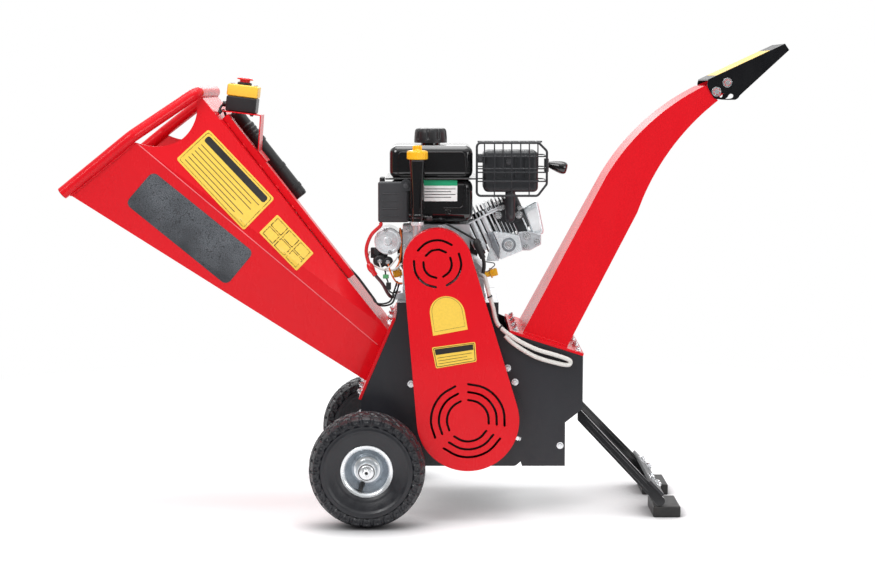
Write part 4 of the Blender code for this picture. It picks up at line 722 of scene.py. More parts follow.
def corners_decal(name, corners, nodes, finish, lift=0.0004, radius=0.004, inset=(0, 0, 1, 1), thick=0.0003,
                  columns=36, rows=24):
    """A thin foil laid on a surface: corners are low-left, low-right, high-right, high-left."""
    a, b, c, d = (Vector(p) for p in corners)
    wide, tall = ((b - a).length + (c - d).length) / 2, ((d - a).length + (c - b).length) / 2
    u0, v0, u1, v1 = inset
    width, height = wide * (u1 - u0), tall * (v1 - v0)
    radius = min(radius, width * 0.49, height * 0.49)
    curve = [radius * (1 - math.cos(w)) / height for w in (0.3, 0.6, 0.9, 1.2, 1.5)]
    levels = [i / rows for i in range(rows + 1)] + curve + [1 - v for v in curve]
    levels = sorted({round(v, 5) for v in levels})
    bm = bmesh.new()
    top, low = [], []
    for v in levels:
        y = min(v, 1 - v) * height
        pull = 0.0 if y >= radius else radius - math.sqrt(max(0.0, radius ** 2 - (radius - y) ** 2))
        line, under = [], []
        for i in range(columns + 1):
            u = (pull + (width - 2 * pull) * i / columns) / width
            s, t = u0 + (u1 - u0) * u, v0 + (v1 - v0) * v
            p = a * (1 - s) * (1 - t) + b * s * (1 - t) + c * s * t + d * (1 - s) * t
            hits = [tree_of(node).ray_cast(Vector((p.x, -1.0, p.z)), FAR) for node in nodes]
            place, normal = min((hit[:2] for hit in hits if hit[0]), key=lambda hit: hit[0].y)
            normal = normal if normal.y < 0 else -normal
            line.append(bm.verts.new(place + normal * (lift + thick)))
            under.append(bm.verts.new(place + normal * lift * 0.3))
        top.append(line)
        low.append(under)
    for grid, flip in ((top, 1), (low, -1)):
        for r in range(len(grid) - 1):
            for i in range(columns):
                quad = [grid[r][i], grid[r][i + 1], grid[r + 1][i + 1], grid[r + 1][i]]
                bm.faces.new(quad[::flip])
    above, below = [grid[0] + [r[-1] for r in grid[1:]] + grid[-1][-2::-1] + [r[0] for r in grid[-2:0:-1]]
                    for grid in (top, low)]
    for i in range(len(above)):
        k = (i + 1) % len(above)
        bm.faces.new((above[i], below[i], below[k], above[k]))
    return piece(name, bm, finish, smooth=30)


# Bolts

def bolt_mesh(bm, place, axis, size, nut=False):
    """A hexagon head or nut with its washer; place is on the seat, axis points outwards."""
    matrix = posed(place, axis) @ Matrix.Rotation(random.uniform(0, 1), 4, "Z")
    washer = [(0, 0.0), (size * 1.35, 0.0), (size * 1.35, size * 0.22), (0, size * 0.22)]
    turned_mesh(bm, soften(washer, 0.0003), 28, matrix)
    low = size * 0.22
    high = low + size * (0.85 if nut else 0.68)
    outline = [tuple(heading(60 * k) * size) for k in range(6)]
    slab_mesh(bm, outline, low, high, matrix, size * 0.14)
    if nut:
        end = [(0, high + size * 0.5), (size * 0.5, high + size * 0.5), (size * 0.52, 0.0)]
        turned_mesh(bm, soften(end, 0.0004), 18, matrix)
    else:
        end = [(size * 0.62, high + 0.0001), (size * 0.60, high + size * 0.05), (0, high + size * 0.05)]
        turned_mesh(bm, end, 20, matrix)


def bolts(name, places, finish="zinc", nut=False):
    """A piece of several bolts or nuts, each given by its place, axis and size."""
    bm = bmesh.new()
    for place, axis, size in places:
        bolt_mesh(bm, place, axis, size, nut)
    return piece(name, bm, finish, smooth=35)


def flange_nuts(start, along, off, shares, spacing, size):
    """Nuts on a flange that lies across the machine: four over its width at each share of its length."""
    places = []
    for y in (-3 * spacing, -spacing, spacing, 3 * spacing):
        for share in shares:
            p = start + along * share + off * 0.0063
            places.append((at(p.x, y, p.y), Vector((off.x, 0, off.y)), size))
    return places


# Hopper

LOW, KNEE, TOP = (-0.7876, -0.262, 0.7248), (-0.6469, -0.258, 0.8388), (-0.5165, -0.150, 0.9331)
THROAT_LOW, THROAT_MID = (-0.15935, -0.1, 0.29538), (-0.12665, -0.1, 0.37167)
THROAT_TOP = (-0.1101, -0.1, 0.41027)
ROOF_FOOT = (-0.10707, 0.40897)
NAME_PLATE_PX = ((125.1, 203.5), (226.5, 285.4), (253.9, 252.3), (152.9, 171.0))
NOTICE_PX = ((176.2, 159.1), (243.8, 230.3), (274.4, 198.7), (208.4, 129.3))
SQUARE_PLATE_PX = ((259.1, 232.6), (296.4, 270.8), (313.6, 253.2), (277.2, 214.6))


def hopper():
    dress("hopper_upper", "red", 0.0009, 2, smooth=20)
    dress("hopper_lower", "red", 0.0009, 2, smooth=20)
    dress("cable_channel", "red", 0.0012, 2)
    for side, sign in SIDES:
        def line(a, b, first, last, out):
            """Thirteen places along an edge of this side, between two shares of its length."""
            shares = [first + (last - first) * k / 12 for k in range(13)]
            points = [Vector(a).lerp(Vector(b), share) for share in shares]
            return [at(v.x, (out - v.y) * sign, v.z) for v in points]

        # The crease bead's lighter red is a painted glint along the fold.
        bead(f"crease_weld_glint_{side}", line(KNEE, THROAT_MID, 0.012, 0.985, 0.0001), 0.0012, "painted_glint")
        bead(f"flange_weld_{side}", line(THROAT_LOW, THROAT_TOP, 0.02, 0.98, 0.0012), 0.0024)
        bead(f"rim_seam_{side}", line(LOW, KNEE, 0.0, 0.99, 0.0004), 0.0030)

    def across(x, z, half, count):
        """Places across the mouth from its near side to its far side."""
        return [at(x, half * (2 * k / (count - 1) - 1), z) for k in range(count)]

    bead("rim_seam_lower", across(LOW[0] - 0.0008, LOW[2] + 0.0004, 0.258, 25), 0.0030)
    bead("rim_seam_upper", across(TOP[0] - 0.0010, TOP[2] + 0.0012, 0.149, 21), 0.0030)
    handle()
    plates()
    rim_welds()


def rim_welds():
    """Short tack welds along the mouth's side edges and along the cable channel."""
    tacks = []
    low, knee = Vector(LOW), Vector(KNEE)
    for share in (0.06, 0.22, 0.38, 0.55, 0.72, 0.90):
        p = low.lerp(knee, share)
        q = p + (knee - low).normalized() * 0.016
        for sign in (1, -1):
            tacks.append([at(v.x, v.y * sign, v.z) for v in (p, (p + q) / 2, q)])
    for index in range(6):
        for y in (-0.0925, -0.0515):
            tacks.append([roof_place(0.075 + index * 0.058 + d, y, 0.0016) for d in (0.0, 0.006, 0.012)])
    steps = 18

    def swell(i, run):
        return 0.0029 * math.sin(math.pi * (i + 0.7) / (steps + 0.4)) ** 0.5 * (0.9 + 0.1 * math.sin(i * 2.1))

    bm = bmesh.new()
    for path in tacks:
        sweep_mesh(bm, curve_points(path, steps), swell, 8)
    piece("rim_welds", bm, "red", smooth=60)


def handle():
    """The tube bent round the mouth, with a plug in each end."""
    half = mm((-806, -262, 728.5), (-656, -258, 850), (-525, -170, 944))
    ends = half + [(x, -y, z) for x, y, z in half[::-1]]
    route = bent([at(*p) for p in ends], 0.034, 12)
    tube("mouth_tube", route, 0.0135, "red", sides=36, replaced=("hopper_handle",), smooth=60)
    plug = mm((0, 1.2), (8.5, 1.2), (11.8, 0.6), (12.6, -0.4), (12.6, -2))
    for side, end, before in (("near", route[0], route[1]), ("far", route[-1], route[-2])):
        axis = (end - before).normalized()
        turned(f"tube_plug_{side}", plug, "soft_black", end + axis * 0.0003, axis, steps=40)


def plates():
    """The bare plates of the hopper's side: grounds, frames, bands and ruled lines, laid on its sheets."""
    walls = ("hopper_upper", "hopper_lower")
    name_plate = pixels(NAME_PLATE_PX, *walls)
    corners_decal("name_plate_blank", name_plate, walls, "mesh_print", radius=0.014, columns=60)

    def layer(name, corners, finish, level, inset, radius, grid=(50, 24)):
        corners_decal(name, corners, walls, finish, 0.0004 + level * 0.0002, radius, inset,
                      0.0001 if level else 0.0003, *grid)

    notice = pixels(NOTICE_PX, *walls)
    for name, finish, level, inset, radius in (
            ("ground", "yellow_print", 0, (0, 0, 1, 1), 0.006),
            ("line", "black_print", 1, (0.02, 0.04, 0.98, 0.96), 0.005),
            ("field", "yellow_print", 2, (0.027, 0.054, 0.973, 0.946), 0.0045),
            ("band", "black_print", 3, (0.05, 0.74, 0.95, 0.905), 0.006)):
        layer(f"notice_{name}", notice, finish, level, inset, radius)
    for index, end in enumerate((0.93, 0.86, 0.90, 0.72, 0.88, 0.80)):
        low = 0.63 - index * 0.10
        inset = (0.065, low, end, low + 0.016)
        layer(f"notice_rule_{index + 1}", notice, "black_print", 3, inset, 0.0003, (30, 2))
    square = pixels(SQUARE_PLATE_PX, *walls)
    layer("square_plate", square, "yellow_print", 0, (0, 0, 1, 1), 0.003, (30, 24))
    for cell in range(6):
        u, v = 0.05 + cell % 3 * 0.31, 0.07 + cell // 3 * 0.45
        edge, field = (u, v, u + 0.28, v + 0.41), (u + 0.018, v + 0.03, u + 0.262, v + 0.38)
        layer(f"cell_{cell + 1}_edge", square, "black_print", 1, edge, 0.0012, (6, 4))
        layer(f"cell_{cell + 1}", square, "yellow_print", 2, field, 0.0008, (6, 4))


# Stop switch and document tube

LEAN = Matrix.Rotation(math.radians(7), 4, "Y")
SWITCH = Matrix.Translation(at(-0.441, -0.045, 0.8995)) @ LEAN


def switch():
    """The stop switch: box, lid, collar, mushroom button and the lid's screws."""
    bm = bmesh.new()
    block_mesh(bm, (-0.034, -0.034, 0.0003), (0.034, 0.034, 0.0340), SWITCH, 0.0030, 3)
    piece("switch_box", bm, "black_plastic", replaced=("switch_base",))
    dress("switch_lid", "switch_yellow", 0.0036, 4, 60, 60, turn=0)
    up = LEAN @ UP
    threads = [(0.0165 if k % 2 else 0.0159, 0.0605 + k * 0.0009) for k in range(7)]
    profile = [(0.0125, 0.0608)] + threads + [(0.0150, 0.0670), (0.0125, 0.0670)]
    turned("button_collar", profile, "black_plastic", SWITCH.translation, up, steps=56, round_=0.0003)
    profile = mm((0, 79), (6, 78.8), (12, 78), (16.8, 76.3), (18.4, 74.8), (18.6, 73.5), (17, 72.4),
                 (11.8, 72.2), (11.8, 46.5), (0, 46.5))
    turned("mushroom", profile, "red_plastic", SWITCH.translation, up, "button", 56, 0.0008, ("stop_button",),
           smooth=50)
    bm = bmesh.new()
    screw = soften(mm((0, 1.2), (2.8, 1), (3.2, 0), (3.2, -0.4)), 0.0004)
    for x, y in ((-0.026, -0.026), (-0.026, 0.026), (0.026, -0.026), (0.026, 0.026)):
        matrix = posed(SWITCH @ Vector((x, y, 0.0611)), up)
        turned_mesh(bm, screw, 20, matrix)
        block_mesh(bm, (-0.0022, -0.0004, 0.0010), (0.0022, 0.0004, 0.0014), matrix)
        block_mesh(bm, (-0.0004, -0.0022, 0.0010), (0.0004, 0.0022, 0.0014), matrix)
    piece("lid_screws", bm, "dark_steel")
    dress("switch_bracket", "red", 0.0007, 2)
    bolts("shelf_screw", [(SWITCH @ Vector((0.026, -0.030, -0.0029)), -up, 0.0036)], "dark_steel")


def roof_place(along, across, off):
    """A point by its distance down the hopper's roof, its Y and its height off the roof."""
    top = Vector((TOP[0], TOP[2]))
    down = (Vector(ROOF_FOOT) - top).normalized()
    normal = Vector((-down.y, down.x))
    p = top + down * along + normal * off
    return at(p.x, across, p.y)


ROOF_DOWN = (roof_place(0.1, 0, 0) - roof_place(0.0, 0, 0)).normalized()


def document_tube():
    """The paper tube with its thicker ribbed cap and two straps."""
    r, cap = 0.0165, 0.0190
    centre = roof_place(0.181, 0.035, cap + 0.0003)
    profile = [(0, -0.124), (r * 0.72, -0.124), (r * 0.9, -0.1225), (r, -0.117), (r, -0.0825),
               (cap - 0.0006, -0.0805), (cap, -0.0785)]
    for k in range(4):
        z = -0.0745 + k * 0.0100
        profile += [(cap, z), (cap - 0.0009, z + 0.0012), (cap - 0.0009, z + 0.0042), (cap, z + 0.0054)]
    profile += [(cap, -0.0315), (cap - 0.0006, -0.0300), (r, -0.0285), (r, 0.117), (r * 0.9, 0.1225),
                (r * 0.72, 0.124), (0, 0.124)]
    turned("paper_tube", profile, "black_plastic", centre, ROOF_DOWN, steps=72, replaced=("document_tube",))
    straps = bmesh.new()
    section = [(r + 0.0002, -0.005), (r + 0.0013, -0.0046), (r + 0.0013, 0.0046), (r + 0.0002, 0.005)]
    for share in (0.040, 0.098):
        turned_mesh(straps, section, 64, posed(centre + ROOF_DOWN * share, ROOF_DOWN), closed=True)
    piece("tube_straps", straps, "soft_black")


# Chipper housing and belt guard

ARCH_PLATE_PX = ((433.1, 335.8), (467.8, 329.4), (464.7, 311.8), (430.0, 314.9))
GUARD_PLATE_PX = ((436.0, 368.5), (476.6, 361.5), (475.2, 341.8), (431.8, 347.5))


def housing():
    for node in ("side_plate_near", "side_plate_far"):
        dress(node, "black", 0.0008, 2)
    # The deck's grey is a painted reflection of the studio light on its black top.
    dress("engine_deck", "deck_reflection_grey", 0.0006, 2)
    dress("bearing_plate_near", "black", 0.0008, 2, smooth=30)
    dress("bearing_plate_far", "black", 0.0008, 2, smooth=30)
    dress("stand_bar", "black", 0.0005, 2)
    paint_nodes("black", "inlet_frame", "outlet_frame", "lower_scroll", "upper_liner")
    paint_nodes("steel", "bed_knife", "rotor_knife_1", "rotor_knife_2")
    paint_nodes("dark_steel", "rotor_drum", "rotor_shaft")
    paint_nodes("drive_black", "rotor_pulley", "crankshaft")
    paint_nodes("belt", "drive_belt")
    dress("bearing_near", "drive_black", 0.0006, 2, smooth=40)
    dress("bearing_far", "steel", 0.0006, 2, smooth=40)
    face = 0.1552
    near = ((0.1726, 0.3025), (0.1560, 0.3340), (-0.0590, 0.2980), (0.1790, 0.1760), (0.2740, 0.1590))
    far = ((0.2740, 0.1590), (-0.1300, 0.1500), (-0.1100, 0.3600), (0.2500, 0.3300))
    places = [(at(x, -face, z), NEAR, 0.0058) for x, z in near]
    places += [(at(x, face, z), FAR, 0.0058) for x, z in far]
    for k in range(6):
        p = Vector((0.067, 0.218)) + heading(25 + 60 * k) * 0.115
        if p.y > 0.13:
            places.append((at(p.x, 0.1604, p.y), FAR, 0.0052))
    bolts("housing_bolts", places)
    bolts("hopper_flange_bolts", flange_nuts(Vector((-0.0921, 0.4439)), heading(246.8), heading(156.8),
                                             (0.0145, 0.1835), 0.045, 0.0062), nut=True)


def guard():
    dress("belt_guard", "red", 0.0006, 2, 40, 40, turn=60)
    face, node = -0.2140, ("belt_guard",)
    arch = arch_outline(pixels(ARCH_PLATE_PX, *node))
    foil("arch_plate", arch, face, "yellow_print")
    centre = sum(arch, Vector()) / len(arch)
    line = [Vector((p.x, face - 0.0004, p.z)) for p in (centre + (p - centre) * 0.87 for p in arch)]
    tube("arch_line", line, 0.00035, "black_print", sides=6, closed=True)
    corners = pixels(GUARD_PLATE_PX, *node)
    for name, finish, lift, radius, inset in (
            ("plate", "yellow_print", 0.0004, 0.0035, (0, 0, 1, 1)),
            ("line", "black_print", 0.0006, 0.0025, (0.025, 0.045, 0.975, 0.955)),
            ("field", "yellow_print", 0.0008, 0.0022, (0.04, 0.075, 0.96, 0.925)),
            ("band", "black_print", 0.0010, 0.0012, (0.055, 0.62, 0.945, 0.895))):
        corners_decal(f"guard_{name}", corners, node, finish, lift, radius, inset, 0.0001, 24, 10)
    for index, end in enumerate((0.90, 0.78, 0.90)):
        low = 0.46 - index * 0.14
        corners_decal(f"guard_rule_{index + 1}", corners, node, "black_print", 0.0010, 0.0002,
                      (0.08, low, end, low + 0.022), 0.0001, 12, 2)


def arch_outline(corners):
    """A foil with a straight foot and a half-round top, from its lower and shoulder corners."""
    left, right, high_right, high_left = corners
    across = (high_right - high_left) / 2
    middle = (high_right + high_left) / 2
    rise = ((high_left - left) + (high_right - right)).normalized() * across.length
    points = [left, right]
    for k in range(25):
        w = math.pi * k / 24
        points.append(middle + across * math.cos(w) + rise * math.sin(w))
    return points


# Discharge chute and hood

def chute():
    dress("chute", "red", 0.0008, 2, 40, 60)
    dress("deflector", "hood_black", 0.0007, 2, 40, 40)
    along, off = heading(-17.5), heading(72.5)
    start = Vector((0.1590, 0.4123))
    for side, sign in SIDES:
        line = [start + along * (0.0335 + 0.0101 * k) + off * 0.0068 for k in range(11)]
        bead(f"chute_foot_weld_{side}", [at(p.x, sign * 0.1116, p.y) for p in line], 0.0030)
    bolts("chute_flange_bolts", flange_nuts(start, along, off, (0.0135, 0.160), 0.046, 0.0060), nut=True)
    pivot = Vector((0.6457, 0.9654))
    bolts("hood_bolts", [(at(p.x, sign * 0.0811, p.y), Vector((0, sign, 0)), 0.0078)
                         for p in (pivot, pivot + heading(220) * 0.031) for sign in (-1, 1)])
    hood_strip()


def hood_strip():
    """A plain yellow strip on the hood's sloping top."""
    a, b = Vector((0.6034, 0.9727)), Vector((0.7727, 1.0515))
    run = (b - a).normalized()
    start = a + run * 0.0205
    axes = Vector((run.x, 0, run.y)), FAR, Vector((-run.y, 0, run.x))
    matrix = Matrix.Translation(at(start.x, 0, start.y)) @ Matrix(axes).transposed().to_4x4()
    bm = bmesh.new()
    slab_mesh(bm, rounded(0.0, -0.0770, 0.131, 0.0770, 0.004), -0.0002, 0.0003, matrix, 0.0001, 1)
    piece("hood_strip", bm, "yellow_print", "hood")


# Stand

def stand():
    dress("stand_cross_plate", "black", 0.0008, 2)
    dress("foot_near", "foot", 0.0012, 3)
    dress("foot_far", "foot", 0.0012, 3)
    for side, sign in SIDES:
        dress(f"stand_arm_{side}", "arm_black", 0.0018, 3)
        top, foot = at(0.316, sign * 0.130, 0.226), at(0.498, sign * 0.168, 0.036)
        run = (foot - top).normalized()
        across = (FAR - run * run.y).normalized()
        rise = run.cross(across)
        bm = bmesh.new()
        for face in (-1, 1):
            for level, first in ((0.0050, 0.022), (-0.0048, 0.030)):
                start, end = top + run * first, foot - run * 0.030
                path = [start.lerp(end, k / 20) + across * (0.0060 * face) + rise * level for k in range(21)]
                sweep_mesh(bm, path, lambda i, _: 0.0014 * min(1, (i + 0.4) / 2, (20.4 - i) / 2), 10)
        piece(f"arm_ridges_{side}", bm, "arm_black", smooth=60)
    low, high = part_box("stand_cross_plate")
    run, rise = Vector((0.6916, 0, -0.7222)), Vector((0.7222, 0, 0.6916))
    centre = (low + high) / 2 + rise * 0.0031
    bolts("stand_bolts", [(centre + run * s + Vector((0, y, 0)), rise, 0.0056)
                          for y in (-0.112, -0.086, 0.086, 0.112) for s in (-0.010, 0.012)], nut=True)


# Wheels

WHEEL_X, WHEEL_Z = -0.1535, 0.1275


def wheels():
    for side, sign in SIDES:
        tyre(side)
        rim(side, sign)
    reach = 0.301
    end = mm((0, 5), (3, 5), (3.6, 9.8), (7.8, 10), (8.6, 9.2), (8.8, 5), (14, 4.2), (15.8, 3), (15.8, 0.2))
    end = [(r, reach + h) for r, h in end]
    profile = end + [(0.010, reach), (0.010, -reach)] + mirrored(end)
    turned("axle_shaft", profile, "zinc", at(WHEEL_X, 0, WHEEL_Z), FAR, steps=56, round_=0.0005,
           replaced=("axle",))
    for side, sign in SIDES:
        turned(f"axle_centre_{side}", mm((0, 0.6), (2.6, 0.6), (3, 0)), "soft_black",
               at(WHEEL_X, sign * (reach + 0.0050), WHEEL_Z), Vector((0, sign, 0)), steps=24, round_=0)


def tyre(side):
    """A pneumatic tyre: zigzag blocks over the crown, pitted shoulder lugs and a raised ring on the wall."""
    node = f"tyre_{side}"
    low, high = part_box(node)
    radius, half = (high.z - low.z) / 2, (high.y - low.y) / 2
    centre = (low + high) / 2
    foot, lugs, around = 0.0565, 30, 360
    section = []
    for k in range(26):
        w = k / 25
        r = foot + 0.001 + (radius * 0.905 - foot) * w
        y = half * (0.56 + 0.425 * math.sin(math.pi * (0.06 + 0.58 * w)) ** 0.85)
        share = r / radius
        y += 0.0016 * (step(share, 0.695, 0.712) - step(share, 0.735, 0.752))
        y -= 0.0008 * (step(share, 0.50, 0.52) - step(share, 0.67, 0.69))
        section.append((r, y))
    shoulder = section[-1]
    for k in range(1, 21):
        w = k / 20
        section.append((shoulder[0] + (radius - 0.0002 - shoulder[0]) * math.sin(w * math.pi / 2) ** 0.9,
                        shoulder[1] * (1 - w) ** 0.9))
    profile = section + [(r, -y) for r, y in reversed(section[:-1])]
    inner = [(radius * 0.78, -half * 0.62), (radius * 0.80, 0.0), (radius * 0.78, half * 0.62)]
    bm = bmesh.new()
    rings = []
    for i in range(around):
        theta = 2 * math.pi * i / around
        points = []
        for r, y in profile:
            depth = tread_depth(theta, y / half, r / radius, lugs)
            wall = step(abs(y), half * 0.55, half * 0.95)
            points.append((r - depth * (1 - 0.75 * wall), y - math.copysign(depth * wall, y)))
        rings.append([bm.verts.new(Vector((r * math.cos(theta), y, r * math.sin(theta))) + centre)
                      for r, y in points + inner])
    for a, b in zip(rings, rings[1:] + rings[:1]):
        for k in range(len(a)):
            n = (k + 1) % len(a)
            bm.faces.new((a[k], a[n], b[n], b[k]))
    piece(f"tyre_rubber_{side}", bm, "tyre", f"wheel_{side}", 34, (node,))


def tread_depth(theta, across, share, lugs):
    """How deep the tread is cut at an angle, a place across it and a share of the tyre's radius."""
    phase = theta * lugs / (2 * math.pi)
    side = abs(across)
    depth = 0.0
    if side < 0.66:
        zig = abs((phase % 1.0) - 0.5) * 2
        for centre, flip in ((0.0, 1), (0.30, -1), (-0.30, -1), (0.60, 1), (-0.60, 1)):
            wave = centre + (zig - 0.5) * 0.20 * flip
            depth = max(depth, 0.0030 * (1 - step(abs(across - wave), 0.022, 0.060)))
        for centre in (0.15, -0.15, 0.45, -0.45):
            cross = abs(((phase + (0.5 if abs(centre) > 0.3 else 0.0)) % 1.0) - 0.5)
            off = step(abs(across - centre), 0.11, 0.15)
            depth = max(depth, 0.0026 * (1 - step(cross, 0.05, 0.12)) * (1 - off))
    if side > 0.62 and share > 0.80:
        cell = (phase % 1.0) - 0.5
        edge = 0.815 + 0.050 * step(abs(cell), 0.18, 0.46)
        depth = max(depth, 0.0030 * (1 - step(share, edge - 0.006, edge + 0.006)) * step(share, 0.775, 0.795))
        depth = max(depth, 0.0034 * step(abs(cell), 0.34, 0.44) * step(share, edge - 0.01, edge + 0.02))
        pit = math.hypot(cell * 0.80, (share - 0.885) * 9.0)
        depth = max(depth, 0.0020 * (1 - step(pit, 0.10, 0.20)))
    return depth


def rim(side, sign):
    """A pressed rim: bright rolled lip, a dark dish that falls in to the hub, a hub tube and its bearing."""
    centre, out, body = at(WHEEL_X, sign * 0.264, WHEEL_Z), Vector((0, sign, 0)), f"wheel_{side}"
    low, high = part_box(f"tyre_{side}")
    shelf = (high.y - low.y) * 0.31 + 0.0003
    lip = [(r, shelf + h) for r, h in mm((47.5, -3), (48.5, -0.8), (50.5, 1), (53.5, 2.2), (56.2, 3),
                                         (57.2, 2.2), (56.8, 0.4), (54.5, -1))]
    ring = lip + [(0.0540, 0.0)] + mirrored(lip) + [(0.0500, 0.0)]
    turned(f"wheel_rim_{side}", ring, "rim", centre, out, body, 112, replaced=(f"rim_{side}",), closed=True,
           smooth=42)
    dish = [(r, shelf + h) for r, h in mm((49, -1.2), (47.4, -3.2), (46.2, -6.8), (44, -9))]
    dish += mm((30, 4), (28, 3), (26.2, 4), (26.2, 1), (30, 0.6))
    turned(f"rim_dish_{side}", dish + mirrored(dish), "rim_dish", centre, out, body, 112, 0.0012, smooth=50)
    hub = mm((10.4, 35.8), (11, 36), (15.8, 36), (16.4, 35.2), (17.8, 35.2), (18.2, 36), (19.6, 36),
             (20.2, 35.2), (20.2, 8.5), (23.2, 5), (28.5, 4.2), (29.2, 3.2), (29.2, -3.2), (28.5, -4.2),
             (23.2, -5), (20.2, -8.5), (20.2, -35.2), (19.6, -36), (11, -36), (10.4, -35.8))
    turned(f"wheel_hub_{side}", hub, "rim", centre, out, body, 80, closed=True, smooth=42)
    seal = mm((16.3, 35.7), (17.9, 35.7), (17.9, 35), (16.3, 35))
    turned(f"bearing_seal_{side}", seal, "soft_black", centre, out, body, 48, closed=True)
    stem = mm((0, 23.5), (3.4, 23.5), (4.2, 22.5), (4.2, 16.5), (3, 15), (3, 13), (4, 12), (4.6, 3),
              (6.2, 0.4), (6.4, -2))
    axis = Vector((-0.10, sign * 0.72, -0.30)).normalized()
    foot = centre + Vector((-0.0105, sign * 0.0110, -0.0315))
    turned(f"valve_stem_{side}", stem, "soft_black", foot, axis, body, 28, 0.0005)


# Engine: tank, oil filler, control and crankcase

def tank():
    near, far = -0.115, 0.090
    bm = bmesh.new()
    block_mesh(bm, at(-0.1070, near, 0.656), at(0.0785, far, 0.7528), Matrix(), 0.020, 7)
    block_mesh(bm, at(-0.1070, near, 0.7520), at(0.0785, far, 0.8265), Matrix(), 0.018, 7)
    block_mesh(bm, at(-0.1160, near - 0.008, 0.7512), at(0.0880, far + 0.008, 0.7552), Matrix(), 0.0016, 3)
    neck = soften(mm((0, 838), (22, 838), (22, 823)), 0.001)
    turned_mesh(bm, neck, 48, Matrix.Translation(at(-0.0157, -0.010, 0)))
    piece("tank_shell", bm, "gloss_black", replaced=("fuel_tank",))
    panel = ((-0.060, 0.7590), (-0.088, 0.7590), (-0.086, 0.8120), (0.060, 0.8120), (0.064, 0.7590),
             (0.000, 0.7590))
    foot = ((0.012, 0.6880), (0.056, 0.6880), (0.060, 0.7440))
    for name, spots, lift, radius, thick in (("panel", panel, 0.0004, 0.007, 0.0011),
                                             ("foot", foot, 0.0002, 0.010, 0.0009)):
        route = bent([at(x, near - lift, z) for x, z in spots], radius, 6)
        tube(f"tank_{name}_line", route, thick, "gloss_black", sides=8)
    bm = bmesh.new()
    matrix = posed(at(0.0225, near - 0.0002, 0.6790), NEAR)
    head = mm((0, 1.2), (4, 1), (4.8, 2.4), (6.6, 2.4), (7.4, 0))
    turned_mesh(bm, soften(head, 0.0006), 32, matrix)
    turned_mesh(bm, soften(mm((0, 3.2), (3, 3), (3.4, 0.8)), 0.0005), 24, matrix)
    piece("tank_screw", bm, "gloss_black")
    foil_flat("tank_plate", -0.0320, 0.7030, 0.0440, 0.7500, near, "white_print", 0.0012)
    foil_flat("tank_plate_band", -0.0320, 0.7375, 0.0440, 0.7500, near - 0.0004, "green_print", 0.0008)
    for index in range(4):
        z = 0.7300 - index * 0.0062
        end = 0.0300 if index % 2 else 0.0400
        foil_flat(f"tank_rule_{index + 1}", -0.0285, z, end, z + 0.0009, near - 0.0005, "grey_print", 0.0006)
    fuel_cap()


def fuel_cap():
    """The tank's cap with nine flutes round its rim."""
    flutes = 9

    def wave(angle, radius, height):
        if radius < 0.025 or height < 0.012:
            return 1.0
        valley = abs(math.sin(angle * flutes / 2))
        return 1.0 - 0.085 * (1 - step(valley, 0.10, 0.52)) * step(height, 0.0105, 0.0135)

    profile = mm((0, 35), (15, 35.6), (28.5, 36.5), (32.5, 35.2), (35.2, 32), (36.2, 27), (37.2, 15),
                 (37.2, 12.5), (37.2, 10.5), (37.2, 3.5), (23.5, 3.5), (23.5, 12), (0, 12))
    dense = profile[:1]
    for p, q in zip(profile, profile[1:]):
        n = max(1, int((Vector(q) - Vector(p)).length / 0.003))
        dense += [tuple(Vector(p).lerp(Vector(q), k / n)) for k in range(1, n + 1)]
    turned("fuel_cap_fluted", dense, "black_plastic", at(-0.0157, -0.010, 0.8265), UP, "tank_cap", 144, 0,
           ("fuel_cap",), wave, smooth=30)


def oil_filler():
    """The filler tube with its elbow and clamp, the dipstick's lug, and the yellow cap."""
    x, y = -0.0445, -0.146
    upright = Matrix.Translation(at(x, y, 0))
    profile = mm((0, 797), (19, 797), (19.2, 795.5), (18.5, 794), (17.6, 780), (16.5, 765), (14.5, 730),
                 (13.3, 710), (13, 690), (13, 676), (14.2, 675), (14.2, 669), (13, 668), (12.8, 660),
                 (0, 660))
    bm = bmesh.new()
    turned_mesh(bm, soften(profile, 0.001), 56, upright)
    for k in range(4):
        turn = Matrix.Rotation(math.pi / 2 * k + 0.5, 4, "Z")
        block_mesh(bm, (0.0122, -0.0009, 0.690), (0.0172, 0.0009, 0.765), upright @ turn, 0.0006, 2)
    piece("filler_neck", bm, "gloss_black", replaced=("oil_filler_tube",))
    elbow = bent([at(x, y, 0.663), at(x, y, 0.622), at(x, -0.1144, 0.622)], 0.011, 10)
    tube("filler_elbow", elbow, 0.0105, "cast", sides=32)
    clamp = mm((10.6, -4), (13.8, -4), (14.2, 0), (13.8, 4), (10.6, 4))
    turned("filler_clamp", clamp, "pressed", at(x, y, 0.6555), UP, steps=48, closed=True)
    block("dipstick_lug", at(x + 0.012, y + 0.006, 0.6600), at(x + 0.034, y + 0.026, 0.6720), "gloss_black",
          0.004, 4)
    bolts("dipstick_screw", [(at(x + 0.026, y + 0.0058, 0.6660), NEAR, 0.0042)], "dark_steel")
    ribs = 20

    def wave(angle, radius, height):
        return 0.970 if radius > 0.0214 and math.sin(angle * ribs) > 0.2 else 1.0

    profile = mm((0, 828), (5.5, 828), (7, 826.5), (6.6, 820), (7.8, 818.2), (15, 817.2), (21.5, 816),
                 (23.2, 813), (23.2, 806), (23.2, 799), (21.5, 797.3), (0, 797.3))
    turned("filler_cap_yellow", profile, "yellow", at(x, y, 0), UP, "filler_cap", 120, 0.0006,
           ("oil_filler_cap",), wave, smooth=32)
    bm = bmesh.new()
    block_mesh(bm, (-0.0105, -0.0028, -0.005), (0.0105, 0.0028, 0.0052), Matrix.Translation(at(x, y, 0.8225)),
               0.0016, 3)
    piece("filler_cap_grip", bm, "yellow", "filler_cap")


